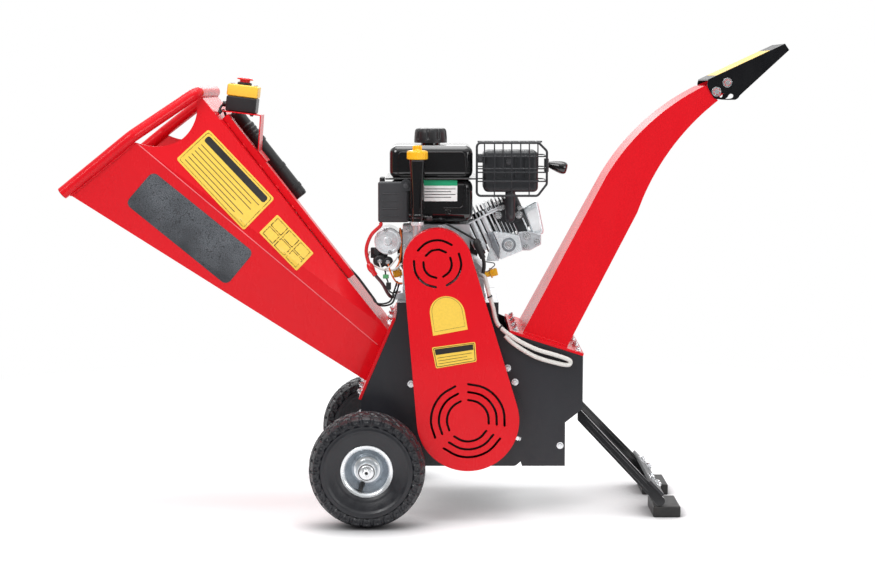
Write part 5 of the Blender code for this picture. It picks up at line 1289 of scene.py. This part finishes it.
def control_cover():
    """The ribbed plastic box beside the tank, with its screw and the tank's strut."""
    bm = bmesh.new()
    block_mesh(bm, at(-0.1320, -0.1300, 0.6565), at(-0.0640, -0.1158, 0.7475), Matrix(), 0.0055, 5)
    for index in range(4):
        level = 0.6700 + index * 0.0165
        block_mesh(bm, at(-0.1230, -0.1318, level), at(-0.0870, -0.1295, level + 0.0024), Matrix(), 0.0010, 2)
    ear = soften(mm((0, 8.8), (13, 8.8), (13.5, 8), (13.5, -4)), 0.0012)
    turned_mesh(bm, ear, 40, posed(at(-0.0690, -0.1230, 0.7390), NEAR))
    piece("control_box_cover", bm, "dark_cover", replaced=("control_cover",))
    bolts("cover_screw", [(at(-0.0690, -0.1318, 0.7390), NEAR, 0.0050)], "dark_steel")
    block("tank_side_strut", at(-0.1290, -0.112, 0.7200), at(-0.1180, -0.070, 0.7560), "black_plastic", 0.003)


def crank_housing():
    """The engine's casting and its side cover, with the cover's ribs and bosses and the bolts."""
    dress("engine_block", "cast", 0.0012, 2, 32, 40)
    dress("crankcase_cover", "cast", 0.0026, 4, 40, 40)
    face, count = -0.1144, 14
    boss = soften(mm((0, 6.2), (6.6, 6.2), (7, 4), (7.8, -6)), 0.0008)

    def on_rim(k, y):
        spot = heading(-30 + k * 240 / (count - 1)) * 0.0640
        return at(-0.004 + spot.x, y, 0.580 + spot.y)

    bm = bmesh.new()
    for k in range(count):
        p = on_rim(k, face + 0.004)
        if k % 3 == 0:
            turned_mesh(bm, boss, 24, posed(p, NEAR))
        else:
            turn = Matrix.Rotation(math.radians(30 - k * 240 / (count - 1)), 4, "Y")
            matrix = Matrix.Translation(p) @ turn
            block_mesh(bm, (-0.020, -0.0040, -0.0013), (0.004, 0.0012, 0.0013), matrix, 0.0005, 2)
    block_mesh(bm, at(-0.078, -0.1060, 0.632), at(-0.046, -0.0800, 0.652), Matrix(), 0.004, 4)
    piece("cover_ribs", bm, "cast")
    places = [(on_rim(k, face - 0.0024), NEAR, 0.0044) for k in range(0, count, 3)]
    places.append((at(-0.062, -0.1062, 0.642), NEAR, 0.0060))
    for x, z in ((-0.0700, 0.600), (0.0880, 0.545), (0.0920, 0.500), (-0.0690, 0.500)):
        places.append((at(x, -0.1005, z), NEAR, 0.0046))
    bolts("crankcase_bolts", places)
    plugs()
    bolts("engine_mount_bolts", [(at(x, y, 0.4930), UP, 0.0062) for x in (-0.088, 0.100)
                                 for y in (-0.078, 0.078)])


def plugs():
    """The two yellow oil plugs: a washer and stem, and a square head with a pad on each side."""
    for label, x, z, lean, depth in (("left", -0.0872, 0.5385, 190, 0.0072),
                                     ("right", 0.1225, 0.5390, 15, 0.0160)):
        axis = Matrix.Rotation(math.radians(90 - lean), 4, "Y") @ UP
        matrix = posed(at(x, -0.075, z), axis)
        stem = mm((0, -0.2), (11.4, -0.2), (11.6, -3.6), (7.2, -4.6)) + [(0.0070, -depth), (0, -depth)]
        bm = bmesh.new()
        turned_mesh(bm, soften(stem, 0.0005), 40, matrix)
        block_mesh(bm, (-0.0080, -0.0080, -0.0006), (0.0080, 0.0080, 0.0130), matrix, 0.0022, 4)
        for k in range(4):
            turn = matrix @ Matrix.Rotation(math.pi / 2 * k, 4, "Z")
            block_mesh(bm, (0.0074, -0.0042, 0.0010), (0.0086, 0.0042, 0.0112), turn, 0.0005, 2)
        piece(f"plug_{label}_yellow", bm, "yellow", f"plug_{label}", 35, (f"drain_plug_{label}",))


# Engine: barrel, head and baffle

CYLINDER = Matrix.Translation(at(0.060, -0.020, 0.6165)) @ Matrix.Rotation(math.radians(65), 4, "Y")
ROCKER_COVER_PX = ((522.9, 208.6), (534.6, 202.0), (537.4, 202.2), (538.6, 204.6), (543.9, 230.6),
                   (543.2, 233.4), (540.6, 235.2), (534.4, 238.2))
ROCKER_PANEL_PX = ((526.2, 212.6), (534.6, 208.0), (537.0, 208.4), (541.2, 227.0), (540.2, 229.6),
                   (533.4, 231.7))
COVER_LUG_PX = ((517.0, 232.0), (529.0, 231.0), (541.2, 234.5), (541.0, 244.5), (530.0, 250.5),
                (519.5, 250.5))
HEAD_BOLTS_PX = ((526.7, 236.0, 70.2, 6.6), (536.6, 241.6, 70.2, 5.0), (526.0, 246.8, 70.2, 5.0),
                 (519.2, 208.4, 74.0, 4.8), (500.2, 208.2, 80.0, 4.6), (502.8, 207.2, 80.0, 4.0))
BAFFLE_FACE_PX = ((493.3, 232.1), (504.0, 232.6), (517.5, 235.0), (519.4, 236.8), (522.3, 249.2),
                  (521.4, 251.2), (501.2, 259.4), (499.4, 258.6), (500.0, 247.5))
BAFFLE_SIDE_PX = ((487.5, 234.2), (492.9, 232.1), (499.6, 247.5), (498.9, 259.8), (491.6, 246.5))
BAFFLE_CORNER_PX = ((486.6, 261.4), (490.6, 246.5), (498.6, 256.0), (498.9, 261.0))
BAFFLE_RECESS_PX = (508.8, 244.8)
PLUG_BOOT_PX = ((476.0, 239.4), (477.6, 245.0), (480.4, 252.0), (483.4, 259.5), (484.0, 267.0),
                (482.6, 275.0))
PLUG_WIRE_PX = ((446.0, 223.5, 112), (452.6, 227.0, 116), (460.0, 231.0, 118), (468.0, 235.6, 118),
                (476.6, 240.6, 118))
THROTTLE_ROD_PX = ((484.5, 261.6), (497.0, 263.4), (486.6, 272.4))


def cylinder():
    """Fins and rail of the barrel, the head with its valve cover, and the sheet baffle."""
    inverse = CYLINDER.inverted()
    skin = bpy.data.objects["engine_block_skin"]
    skin.data.materials.append(M["fin_shade"])
    skin.data.materials.append(M["fin"])
    for polygon in skin.data.polygons:
        local = inverse @ polygon.center
        if local.z > 0.0145 and polygon.center.x > at(0.0715, 0, 0).x:
            polygon.material_index = 2 if local.y < -0.046 or local.x < -0.045 else 1
    bm = bmesh.new()
    for index in range(13):
        z = 0.006 + index * 0.0079
        block_mesh(bm, (-0.0525, -0.0540, z), (-0.0270, 0.0520, z + 0.0013), CYLINDER, 0.0003, 1)
    cut_above(bm, at(0.0788, 0, 0.6555))
    piece("barrel_fins", bm, "fin", smooth=30)
    bm = bmesh.new()
    for z in (0.0195, 0.0330, 0.0465, 0.0600):
        block_mesh(bm, (-0.0262, -0.0560, z - 0.0041), (0.0440, -0.0440, z + 0.0041), CYLINDER, 0.0028, 4)
    block_mesh(bm, (-0.0292, -0.0600, -0.002), (-0.0252, -0.0500, 0.1020), CYLINDER, 0.0012, 3)
    block_mesh(bm, (-0.0330, -0.0575, 0.072), (-0.0300, -0.0500, 0.1000), CYLINDER, 0.0010, 2)
    piece("barrel_rail", bm, "fin")
    dress("cylinder_head", "fin_shade", 0.0010, 2, 30, 40)
    bm = bmesh.new()
    for index in range(6):
        z = 0.0760 + index * 0.0076
        block_mesh(bm, (0.0000, -0.0572, z), (0.0450, -0.0500, z + 0.0012), CYLINDER, 0.0003, 1)
    piece("head_fins", bm, "fin")
    bm = bmesh.new()
    block_mesh(bm, (-0.0090, -0.0440, 0.1170), (0.0560, 0.0420, 0.1375), CYLINDER, 0.0030, 3)
    piece("head_neck", bm, "fin_shade")
    bm = bmesh.new()
    block_mesh(bm, (-0.0130, -0.0480, 0.1368), (0.0705, 0.0460, 0.1402), CYLINDER, 0.0010, 2)
    face_plate(bm, ROCKER_COVER_PX, -0.0640, 0.0860, 0.0060, 5)
    piece("rocker_cover", bm, "pressed")
    # The panel's near-white sheet is a painted highlight on the valve cover's face.
    plate_piece("rocker_panel", ROCKER_PANEL_PX, -0.0646, 0.0010, "painted_highlight_panel", 0.0004, 2)
    plate_piece("cover_lug", COVER_LUG_PX, -0.0700, 0.0300, "cast", 0.0025)
    bolts("head_bolts", [(on_plane(u, v, -depth / 1000), NEAR, size / 1000)
                         for u, v, depth, size in HEAD_BOLTS_PX])
    plate_piece("baffle_face", BAFFLE_FACE_PX, -0.0980, 0.0250, "pressed", 0.0016, 3, ("cylinder_baffle",))
    plate_piece("baffle_side", BAFFLE_SIDE_PX, -0.0955, 0.0200, "dark_pressed", 0.0030)
    plate_piece("baffle_corner", BAFFLE_CORNER_PX, -0.0900, 0.0160, "pressed", 0.0012, 2)
    recess = on_plane(*BAFFLE_RECESS_PX, -0.0982)
    ring = mm((10.5, 0.2), (12, 1), (15, 1), (16, 0.1), (16, -0.5), (10.5, -0.5))
    turned("baffle_recess", ring, "dark_pressed", recess, NEAR, steps=48, closed=True)
    bolts("baffle_bolt", [(recess, NEAR, 0.0064)])
    plug_lead()


def cut_above(bm, corner):
    """Cuts away what lies above a corner and to its left, and closes the cut."""
    for normal in (Vector((1, 0, 0)), UP):
        everything = bm.verts[:] + bm.edges[:] + bm.faces[:]
        bmesh.ops.bisect_plane(bm, geom=everything, plane_co=corner, plane_no=normal)
    doomed = [f for f in bm.faces if f.calc_center_median().x < corner.x
              and f.calc_center_median().z - corner.z > 1e-6]
    bmesh.ops.delete(bm, geom=doomed, context="FACES")
    bmesh.ops.edgeloop_fill(bm, edges=[e for e in bm.edges if len(e.link_faces) == 1])


def plug_lead():
    """The spark plug's boot in front of the barrel, with its lead and the rod under the baffle."""
    route = curve_points([on_plane(u, v, -0.1180) for u, v in PLUG_BOOT_PX], 40)

    def boot(i, run):
        body = 0.0086 - 0.0022 * step(i / 21, 0.30, 0.95)
        return body + 0.0004 * math.sin(i * 1.9) - 0.0030 * (1 - step(i, 0, 2.5))

    tube("plug_boot", route[:22], boot, "soft_black", sides=24)
    tube("plug_lead", route[19:], 0.0042, "soft_black", sides=14)
    lead = curve_points([on_plane(u, v, -depth / 1000) for u, v, depth in PLUG_WIRE_PX], 24)
    tube("plug_wire", lead, 0.0024, "soft_black", sides=12)
    rod = bent([on_plane(u, v, -0.100) for u, v in THROTTLE_ROD_PX], 0.004, 5)
    tube("throttle_rod", rod, 0.0012, "dark_steel", sides=10)


# Engine: muffler, starter and blower

EXHAUST_FLANGE_PX = ((494.6, 212.4), (497.5, 208.8), (520.0, 207.8), (523.4, 211.6), (523.4, 217.4),
                     (520.0, 220.8), (513.3, 223.0), (506.6, 223.2), (503.3, 221.2), (496.7, 220.0),
                     (494.2, 216.7))
EXHAUST_NUTS_PX = ((498.3, 215.2), (518.8, 214.7))


def exhaust():
    near, far = -0.118, -0.010
    bm = bmesh.new()
    block_mesh(bm, at(0.1020, near, 0.7230), at(0.2240, far, 0.8150), Matrix(), 0.0110, 6)
    for index in range(4):
        x = 0.1255 + index * 0.0222
        block_mesh(bm, at(x, near - 0.0022, 0.756), at(x + 0.005, near + 0.004, 0.806), Matrix(), 0.0018, 3)
    block_mesh(bm, at(0.1010, near - 0.0030, 0.7480), at(0.2250, near + 0.003, 0.7510), Matrix(), 0.0010, 2)
    piece("muffler_can", bm, "heat_black", replaced=("muffler",))
    pipe = [at(0.1625, y, z) for y, z in ((-0.096, 0.740), (-0.096, 0.664), (-0.0726, 0.664))]
    tube("muffler_stub", bent(pipe, 0.011, 12), 0.0112, "heat_black", sides=36)
    plate_piece("muffler_flange", EXHAUST_FLANGE_PX, -0.0780, 0.0055, "heat_black", 0.0012, 2)
    bolts("exhaust_nuts", [(on_plane(u, v, -0.0782), NEAR, 0.0062) for u, v in EXHAUST_NUTS_PX], nut=True)
    bolts("muffler_bolt", [(at(0.1570, near - 0.0002, 0.7905), NEAR, 0.0058)], "dark_steel")
    cage()
    grip()


def cage():
    """The bent wire guard in front of and over the muffler."""
    near, far, wire = -0.132, -0.0075, 0.0020
    left, right, low, high = 0.0870, 0.2420, 0.7160, 0.8330
    middle = 0.775
    bm = bmesh.new()
    corners = ((left, middle), (left, high), (right - 0.018, high), (right, high - 0.018),
               (right, low + 0.026), (right - 0.020, low), (left, low), (left, middle))
    sweep_mesh(bm, bent([at(x, near, z) for x, z in corners], 0.009, 6)[:-1], wire * 1.3, 12, True)
    for level in (0.7480, 0.7760, 0.8030):
        hoop = [at(left, near, level), at(right, near, level), at(right, far, level), at(left, far, level)]
        sweep_mesh(bm, bent(hoop, 0.012, 6), wire * 0.75, 10)
    sweep_mesh(bm, [at(left - 0.001, near, 0.7680), at(right + 0.001, near, 0.7680)], wire * 0.8, 10)
    for x, start in ((0.104, 0.776), (0.126, low), (0.145, 0.776), (0.164, low), (0.184, 0.776), (0.203, low),
                     (0.222, 0.776)):
        rise = [at(x, near, start), at(x, near, high), at(x, far, high)]
        sweep_mesh(bm, bent(rise, 0.012, 6), wire * 0.72, 10)
    sweep_mesh(bm, [at(left + 0.004, far, high - 0.001), at(right - 0.004, far, high - 0.001)], wire, 10)
    for y in (-0.098, -0.062):
        sweep_mesh(bm, [at(left + 0.006, y, high), at(right - 0.012, y, high)], wire * 0.8, 10)
    block_mesh(bm, at(0.2400, -0.072, 0.7660), at(0.2497, -0.048, 0.7960), Matrix(), 0.0012, 2)
    block_mesh(bm, at(0.0850, -0.128, 0.7890), at(0.1040, -0.1200, 0.8080), Matrix(), 0.0035, 3)
    piece("muffler_cage", bm, "heat_black", replaced=("muffler_guard",), smooth=50)
    screws = ((0.0940, -0.1284, 0.7985, 0.0048), (0.2448, -0.0722, 0.7810, 0.0040))
    bolts("cage_screws", [(at(x, y, z), NEAR, size) for x, y, z, size in screws], "dark_steel")


def grip():
    """The recoil starter's handle, flattened to fit two fingers."""
    low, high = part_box("recoil_handle")
    centre = Vector((low.x, (low.y + high.y) / 2, (low.z + high.z) / 2))
    profile = mm((0, 43), (7, 42.7), (12.4, 41.2), (15.6, 37.8), (16.6, 33), (16.3, 28), (15, 22), (13, 16),
                 (10.6, 10), (8.4, 5), (6.6, 0), (0, 0))

    def wave(angle, radius, height):
        return 1.0 - 0.14 * abs(math.sin(angle)) ** 3 * step(radius, 0.008, 0.014)

    turned("pull_grip", profile, "gloss_black", centre, Vector((1, 0, -0.26)), "grip", 72, 0.0006,
           ("recoil_handle",), wave, smooth=50)


def starter():
    """The starter motor with its bright end cap, and the solenoid under it."""
    matrix = posed(at(-0.1110, 0, 0.6130), NEAR)
    ears = [heading(angle) * 0.0252 for angle in (100, 280)]
    bm = bmesh.new()
    shell = mm((30.1, 96), (29.8, 94), (29, -10), (24, -40), (0, -40))
    turned_mesh(bm, soften(shell, 0.001), 64, matrix)
    turned_mesh(bm, [(0, 0.0960), (0.0301, 0.0960)], 64, matrix)
    piece("starter_body", bm, "gloss_black", replaced=("starter_motor",))
    cap = mm((0, 112.2), (4, 112.4), (8, 112), (9.2, 109.6), (10.5, 109), (22.5, 107), (24.5, 107.8),
             (28.2, 107.2), (30.2, 105), (30.4, 95), (0, 95))
    bm = bmesh.new()
    turned_mesh(bm, soften(cap, 0.0007), 72, matrix)
    for p in ears:
        block_mesh(bm, (-0.0050, -0.0050, 0.0), (0.0050, 0.0050, 0.0040),
                   matrix @ Matrix.Translation(Vector((p.x, p.y, 0.1040))), 0.0015, 3)
    piece("starter_end_cap", bm, "pressed")
    bolts("starter_screws", [(matrix @ Vector((p.x, p.y, 0.1081)), NEAR, 0.0034) for p in ears])
    body = mm((0, 105.2), (11, 105.2), (13.8, 104), (15, 101), (15, 88), (16, 87.5), (16, 84), (15, 83.5),
              (15, 38), (0, 38))
    short = mm((0, 101), (7, 101), (9.2, 99), (9.5, 80), (0, 80))
    long = mm((0, 106), (8.5, 106), (11, 104), (11.2, 85), (0, 85))
    bm = bmesh.new()
    for profile, steps, x, z in ((body, 48, -0.1290, 0.5675), (short, 36, -0.1362, 0.5880),
                                 (long, 36, -0.1110, 0.5660)):
        turned_mesh(bm, soften(profile, 0.0008), steps, posed(at(x, 0, z), NEAR))
    block_mesh(bm, at(-0.1500, -0.0960, 0.5740), at(-0.1120, -0.0860, 0.5980), Matrix(), 0.002, 3)
    block_mesh(bm, at(-0.1050, 0.0150, 0.5950), at(-0.0783, 0.0300, 0.6300), Matrix(), 0.002, 3)
    piece("solenoid_body", bm, "black_plastic")
    studs = ((-0.1290, -0.1054, 0.5675, 0.0038), (-0.1110, -0.1062, 0.5660, 0.0036))
    bolts("solenoid_studs", [(at(x, y, z), NEAR, size) for x, y, z, size in studs], nut=True)


def blower():
    """The fan housing on the far side: a stepped shell with a slotted intake screen."""
    profile = mm((0, 55.5), (44, 55.5), (46, 60), (50, 62), (56, 60.4), (60, 56), (61.2, 50), (62.5, 34),
                 (65, 32.5), (88, 30), (92.5, 27), (94.5, 22), (94.5, 0), (0, 0))
    matrix = posed(at(0.0, 0.0983, 0.576), FAR)
    bm = bmesh.new()
    turned_mesh(bm, soften(profile, 0.0016), 112, matrix)

    def spokes(count, low, high, bevel, segments):
        for k in range(count):
            turn = matrix @ Matrix.Rotation(2 * math.pi * k / count, 4, "Z")
            block_mesh(bm, low, high, turn, bevel, segments)

    for ring in range(4):
        r = 0.014 + ring * 0.0075
        spokes(12 + ring * 6, (r, -0.0008, 0.0550), (r + 0.0060, 0.0008, 0.0580), 0.0003, 1)
    for r in (0.0125, 0.0205, 0.0280, 0.0355, 0.0425):
        hoop = [(r, 0.0550), (r, 0.0580), (r + 0.0012, 0.0580), (r + 0.0012, 0.0550)]
        turned_mesh(bm, hoop, 72, matrix, closed=True)
    spokes(18, (0.0660, -0.0016, 0.0300), (0.0890, 0.0016, 0.0330), 0.0008, 2)
    piece("fan_housing", bm, "gloss_black", replaced=("blower_housing",))
    spots = [heading(45 + 90 * k) * 0.0770 for k in range(4)]
    bolts("fan_housing_bolts", [(matrix @ Vector((p.x, p.y, 0.0312)), FAR, 0.0048) for p in spots])


# Cables

THIN_LEADS = (
    ("harness_lead_1", 0.0022, "white_lead",
     mm((-152, -100, 590), (-156, -108, 570), (-136, -112, 556), (-115, -112, 548), (-95, -109, 550),
        (-80, -102, 562))),
    ("harness_lead_2", 0.0018, "white_lead",
     mm((-130, -106, 565), (-124, -113, 552), (-108, -114, 556), (-93, -108, 573), (-85, -102, 585))),
    ("harness_lead_3", 0.0018, "orange_lead",
     mm((-111, -106, 564), (-106, -115, 548), (-98, -113, 530), (-90, -105, 520), (-79, -100.5, 518))),
    ("harness_lead_4", 0.0017, "black_lead",
     mm((-118, -112.5, 549), (-116.5, -114, 544), (-115.5, -114, 534), (-112, -113.2, 526),
        (-109.5, -113, 515), (-108, -111, 502), (-99, -103, 496), (-92, -100, 500))),
    ("starter_wire", 0.0020, "orange_lead",
     mm((-84, -96, 642), (-81, -101, 620), (-82, -101, 590), (-86, -102, 565), (-94, -105, 550))))


def cable_path(points, count):
    """A smooth path through given points of the machine."""
    return curve_points([at(*p) for p in points], count)


def cables():
    """The stop cable in its white sleeve, the starter cable, the thin leads and their connectors."""
    out = -0.166
    route = mm((96, -100.3, 538.5), (96, -112, 538.5), (105, -133, 534), (110, -148, 516), (115.5, -162, 495),
               (122.5, -166, 472), (134, -167, 433), (172, -168, 402), (217, -170, 379), (265, -168, 364),
               (293, -166, 353), (290, -166, 342.5), (260, -168, 348), (216, -170, 362), (172, -168, 388),
               (150, -166, 408))
    tube("stop_lead_sleeve", cable_path(route, 220), 0.0048, "braid", 20, replaced=("stop_cable",), smooth=60)
    tie = mm((5, -1.8), (6.2, -1.8), (6.2, 1.8), (5, 1.8))
    bm = bmesh.new()
    for x, z, lean in ((0.1390, 0.4275, 40), (0.1155, 0.4950, 65)):
        turn = Matrix.Rotation(math.radians(lean), 4, "Y") @ frame_of((1, 0, 0))
        turned_mesh(bm, tie, 32, Matrix.Translation(at(x, out, z)) @ turn, closed=True)
    block_mesh(bm, at(0.1350, out - 0.0075, 0.4215), at(0.1390, out - 0.0045, 0.4250), Matrix(), 0.0004, 2)
    piece("lead_ties", bm, "black_plastic")
    route = mm((-127, -122.9, 656.2), (-127, -122.9, 649), (-148, -116, 627), (-159, -114, 595),
               (-153, -116, 564), (-140, -118, 540), (-123, -112, 518), (-112, -100, 496), (-105, -93, 487),
               (-98.4, -93, 487))
    path = cable_path(route, 120)

    def boot(i, run):
        return 0.0058 + 0.0022 * math.sin(math.pi * min(1, i / 12))

    tube("battery_lead_upper", path[:62], 0.0040, "red_lead", 18, replaced=("starter_cable",), smooth=60)
    tube("battery_lead_boot", path[60:78], boot, "red_plastic", sides=22, smooth=60)
    tube("battery_lead_lower", path[76:], 0.0038, "brown_lead", sides=18, smooth=60)
    for name, radius, finish, points in THIN_LEADS:
        tube(name, cable_path(points, 36), radius, finish, sides=12, smooth=60)
    block("lead_connector", at(-0.1220, -0.1180, 0.5300), at(-0.1090, -0.1100, 0.5390), "green_lead", 0.0015)
    block("lead_connector_black", at(-0.1150, -0.1180, 0.5050), at(-0.1040, -0.1080, 0.5210), "black_plastic",
          0.0015)
    hopper_wires()


def hopper_wires():
    """The switch's wire from the box's side to the roof channel, and two wires from there to the engine."""
    first = [roof_place(0.430, -0.072, 0.008), roof_place(0.470, -0.072, 0.008)]
    later = [roof_place(0.512, -0.078, 0.016), at(-0.1500, -0.0900, 0.4900), at(-0.1350, -0.0980, 0.4720),
             at(-0.1080, -0.1010, 0.4760), at(-0.0980, -0.1020, 0.4980), at(-0.0900, -0.1010, 0.5230)]
    for name, apart in (("channel_wire_1", (0, 0, 0)), ("channel_wire_2", (0.0045, 0.003, -0.0045))):
        path = curve_points(first + [p + Vector(apart) for p in later], 70)
        tube(name, path, 0.0021, "soft_black", sides=12, smooth=60)
    box = SWITCH @ Vector((-0.0345, -0.012, 0.014))
    path = [box + Vector(p) for p in mm((3, 0, 0), (-7, 0, -1), (-13, -8, -9), (-14, -18, -20))]
    path += [roof_place(along, y, off) for along, y, off in mm((46, -70, 12), (62, -72, 8), (90, -72, 8))]
    tube("switch_wire", curve_points(path, 56), 0.0028, "soft_black", sides=14, smooth=60)
    gland = mm((0, 9), (5, 8.6), (6.2, 7), (6.8, 1), (7.2, -1.5))
    turned("switch_gland", gland, "black_plastic", box, LEAN @ Vector((-1, 0, 0)), steps=32, round_=0.0006)


# Floor and light

FLOOR_GLOW = 0.34


def floor():
    """A round white floor: plain white far off, lit and shadowed near the object, with a contact shadow
    painted from ambient occlusion.
    """
    bm = bmesh.new()
    bmesh.ops.create_circle(bm, cap_ends=True, segments=96, radius=2.6)
    mesh = bpy.data.meshes.new("floor")
    bm.to_mesh(mesh)
    bm.free()
    item = bpy.data.objects.new("floor", mesh)
    scene.collection.objects.link(item)
    web = Web("pale_floor")
    path = web.tree.nodes.new("ShaderNodeLightPath")
    mirrored_or_seen = web.sum("MAXIMUM", path.outputs["Is Camera Ray"], path.outputs["Is Glossy Ray"])
    shown = web.sum("MAXIMUM", mirrored_or_seen, path.outputs["Is Transmission Ray"])
    reach = web.add("ShaderNodeVectorMath", {0: web.places.outputs["Object"]}, operation="LENGTH")
    far = web.band(reach.outputs["Value"], 1.3, 2.3)
    # Painted contact shadow: ambient occlusion darkens the floor's colour and its glow near the object.
    open_ = web.add("ShaderNodeAmbientOcclusion", {"Distance": 0.16}).outputs["AO"]
    shade = web.sum("POWER", web.band(open_, 0.0, 0.92), 1.6)
    ground = web.mix(shade, (0.10, 0.095, 0.105, 1), (0.80, 0.80, 0.81, 1))
    diffuse = web.add("ShaderNodeBsdfDiffuse", {"Color": ground})
    glow = web.sum("MULTIPLY", shade, FLOOR_GLOW)
    bright = web.add("ShaderNodeEmission", {"Color": (1, 1, 1, 1), "Strength": glow})
    white = web.add("ShaderNodeEmission", {"Color": (1, 1, 1, 1), "Strength": 1.0})
    both = web.add("ShaderNodeAddShader", {0: diffuse.outputs[0], 1: bright.outputs[0]})
    near = web.add("ShaderNodeMixShader", {0: far, 1: both.outputs[0], 2: white.outputs[0]})
    blend = web.add("ShaderNodeMixShader", {0: shown, 1: diffuse.outputs[0], 2: near.outputs[0]})
    web.put(web.tree.nodes["Material Output"].inputs["Surface"], blend.outputs[0])
    mesh.materials.append(web.material)


def world():
    """White to the camera; for gloss, a studio that is white behind and above and dim in front."""
    item = bpy.data.worlds.new("studio")
    scene.world = item
    item.use_nodes = True
    tree = item.node_tree

    def math_node(kind, *values):
        node = tree.nodes.new("ShaderNodeMath")
        node.operation = kind
        for socket, value in zip(node.inputs, values):
            if isinstance(value, bpy.types.NodeSocket):
                tree.links.new(value, socket)
            else:
                socket.default_value = value
        return node.outputs[0]

    def ramp(value, low, high):
        node = tree.nodes.new("ShaderNodeMapRange")
        node.interpolation_type = "SMOOTHSTEP"
        tree.links.new(value, node.inputs[0])
        node.inputs[1].default_value, node.inputs[2].default_value = low, high
        return node.outputs[0]

    where = tree.nodes.new("ShaderNodeTexCoord").outputs["Generated"]
    split = tree.nodes.new("ShaderNodeSeparateXYZ")
    tree.links.new(where, split.inputs[0])
    behind = ramp(split.outputs[1], -0.45, 0.25)
    above = ramp(split.outputs[2], 0.30, 0.75)
    gloss = math_node("MAXIMUM", math_node("MAXIMUM", behind, above), 0.10)
    path = tree.nodes.new("ShaderNodeLightPath")
    plain = math_node("MAXIMUM", path.outputs["Is Camera Ray"], path.outputs["Is Transmission Ray"])
    shown = math_node("MAXIMUM", plain, math_node("MULTIPLY", path.outputs["Is Glossy Ray"], gloss))
    rest = math_node("SUBTRACT", 1.0, math_node("MAXIMUM", plain, path.outputs["Is Glossy Ray"]))
    power = math_node("ADD", shown, math_node("MULTIPLY", rest, 0.50))
    back = tree.nodes["Background"]
    back.inputs["Color"].default_value = (1, 1, 1, 1)
    tree.links.new(power, back.inputs["Strength"])


def lamp(name, place, size, power):
    """A square lamp that faces the middle of the machine."""
    data = bpy.data.lights.new(name, "AREA")
    data.shape = "RECTANGLE"
    data.size = data.size_y = size
    data.energy = power
    item = bpy.data.objects.new(name, data)
    item.location = place
    item.rotation_euler = (Vector((0, 0, 0.5)) - Vector(place)).to_track_quat("-Z", "Y").to_euler()
    scene.collection.objects.link(item)


scene.view_settings.view_transform = "Standard"
random.seed(7)
make_camera()
world()
floor()
lamp("key", (-2.0, -3.0, 3.0), 1.8, 74)
lamp("fill", (2.8, -2.8, 1.5), 1.6, 38)
lamp("top", (0.1, 0.1, 3.4), 2.2, 62)
lamp("back", (-0.6, 3.2, 2.4), 2.0, 40)
hopper()
switch()
document_tube()
housing()
guard()
chute()
stand()
wheels()
tank()
oil_filler()
control_cover()
crank_housing()
cylinder()
exhaust()
starter()
blower()
cables()
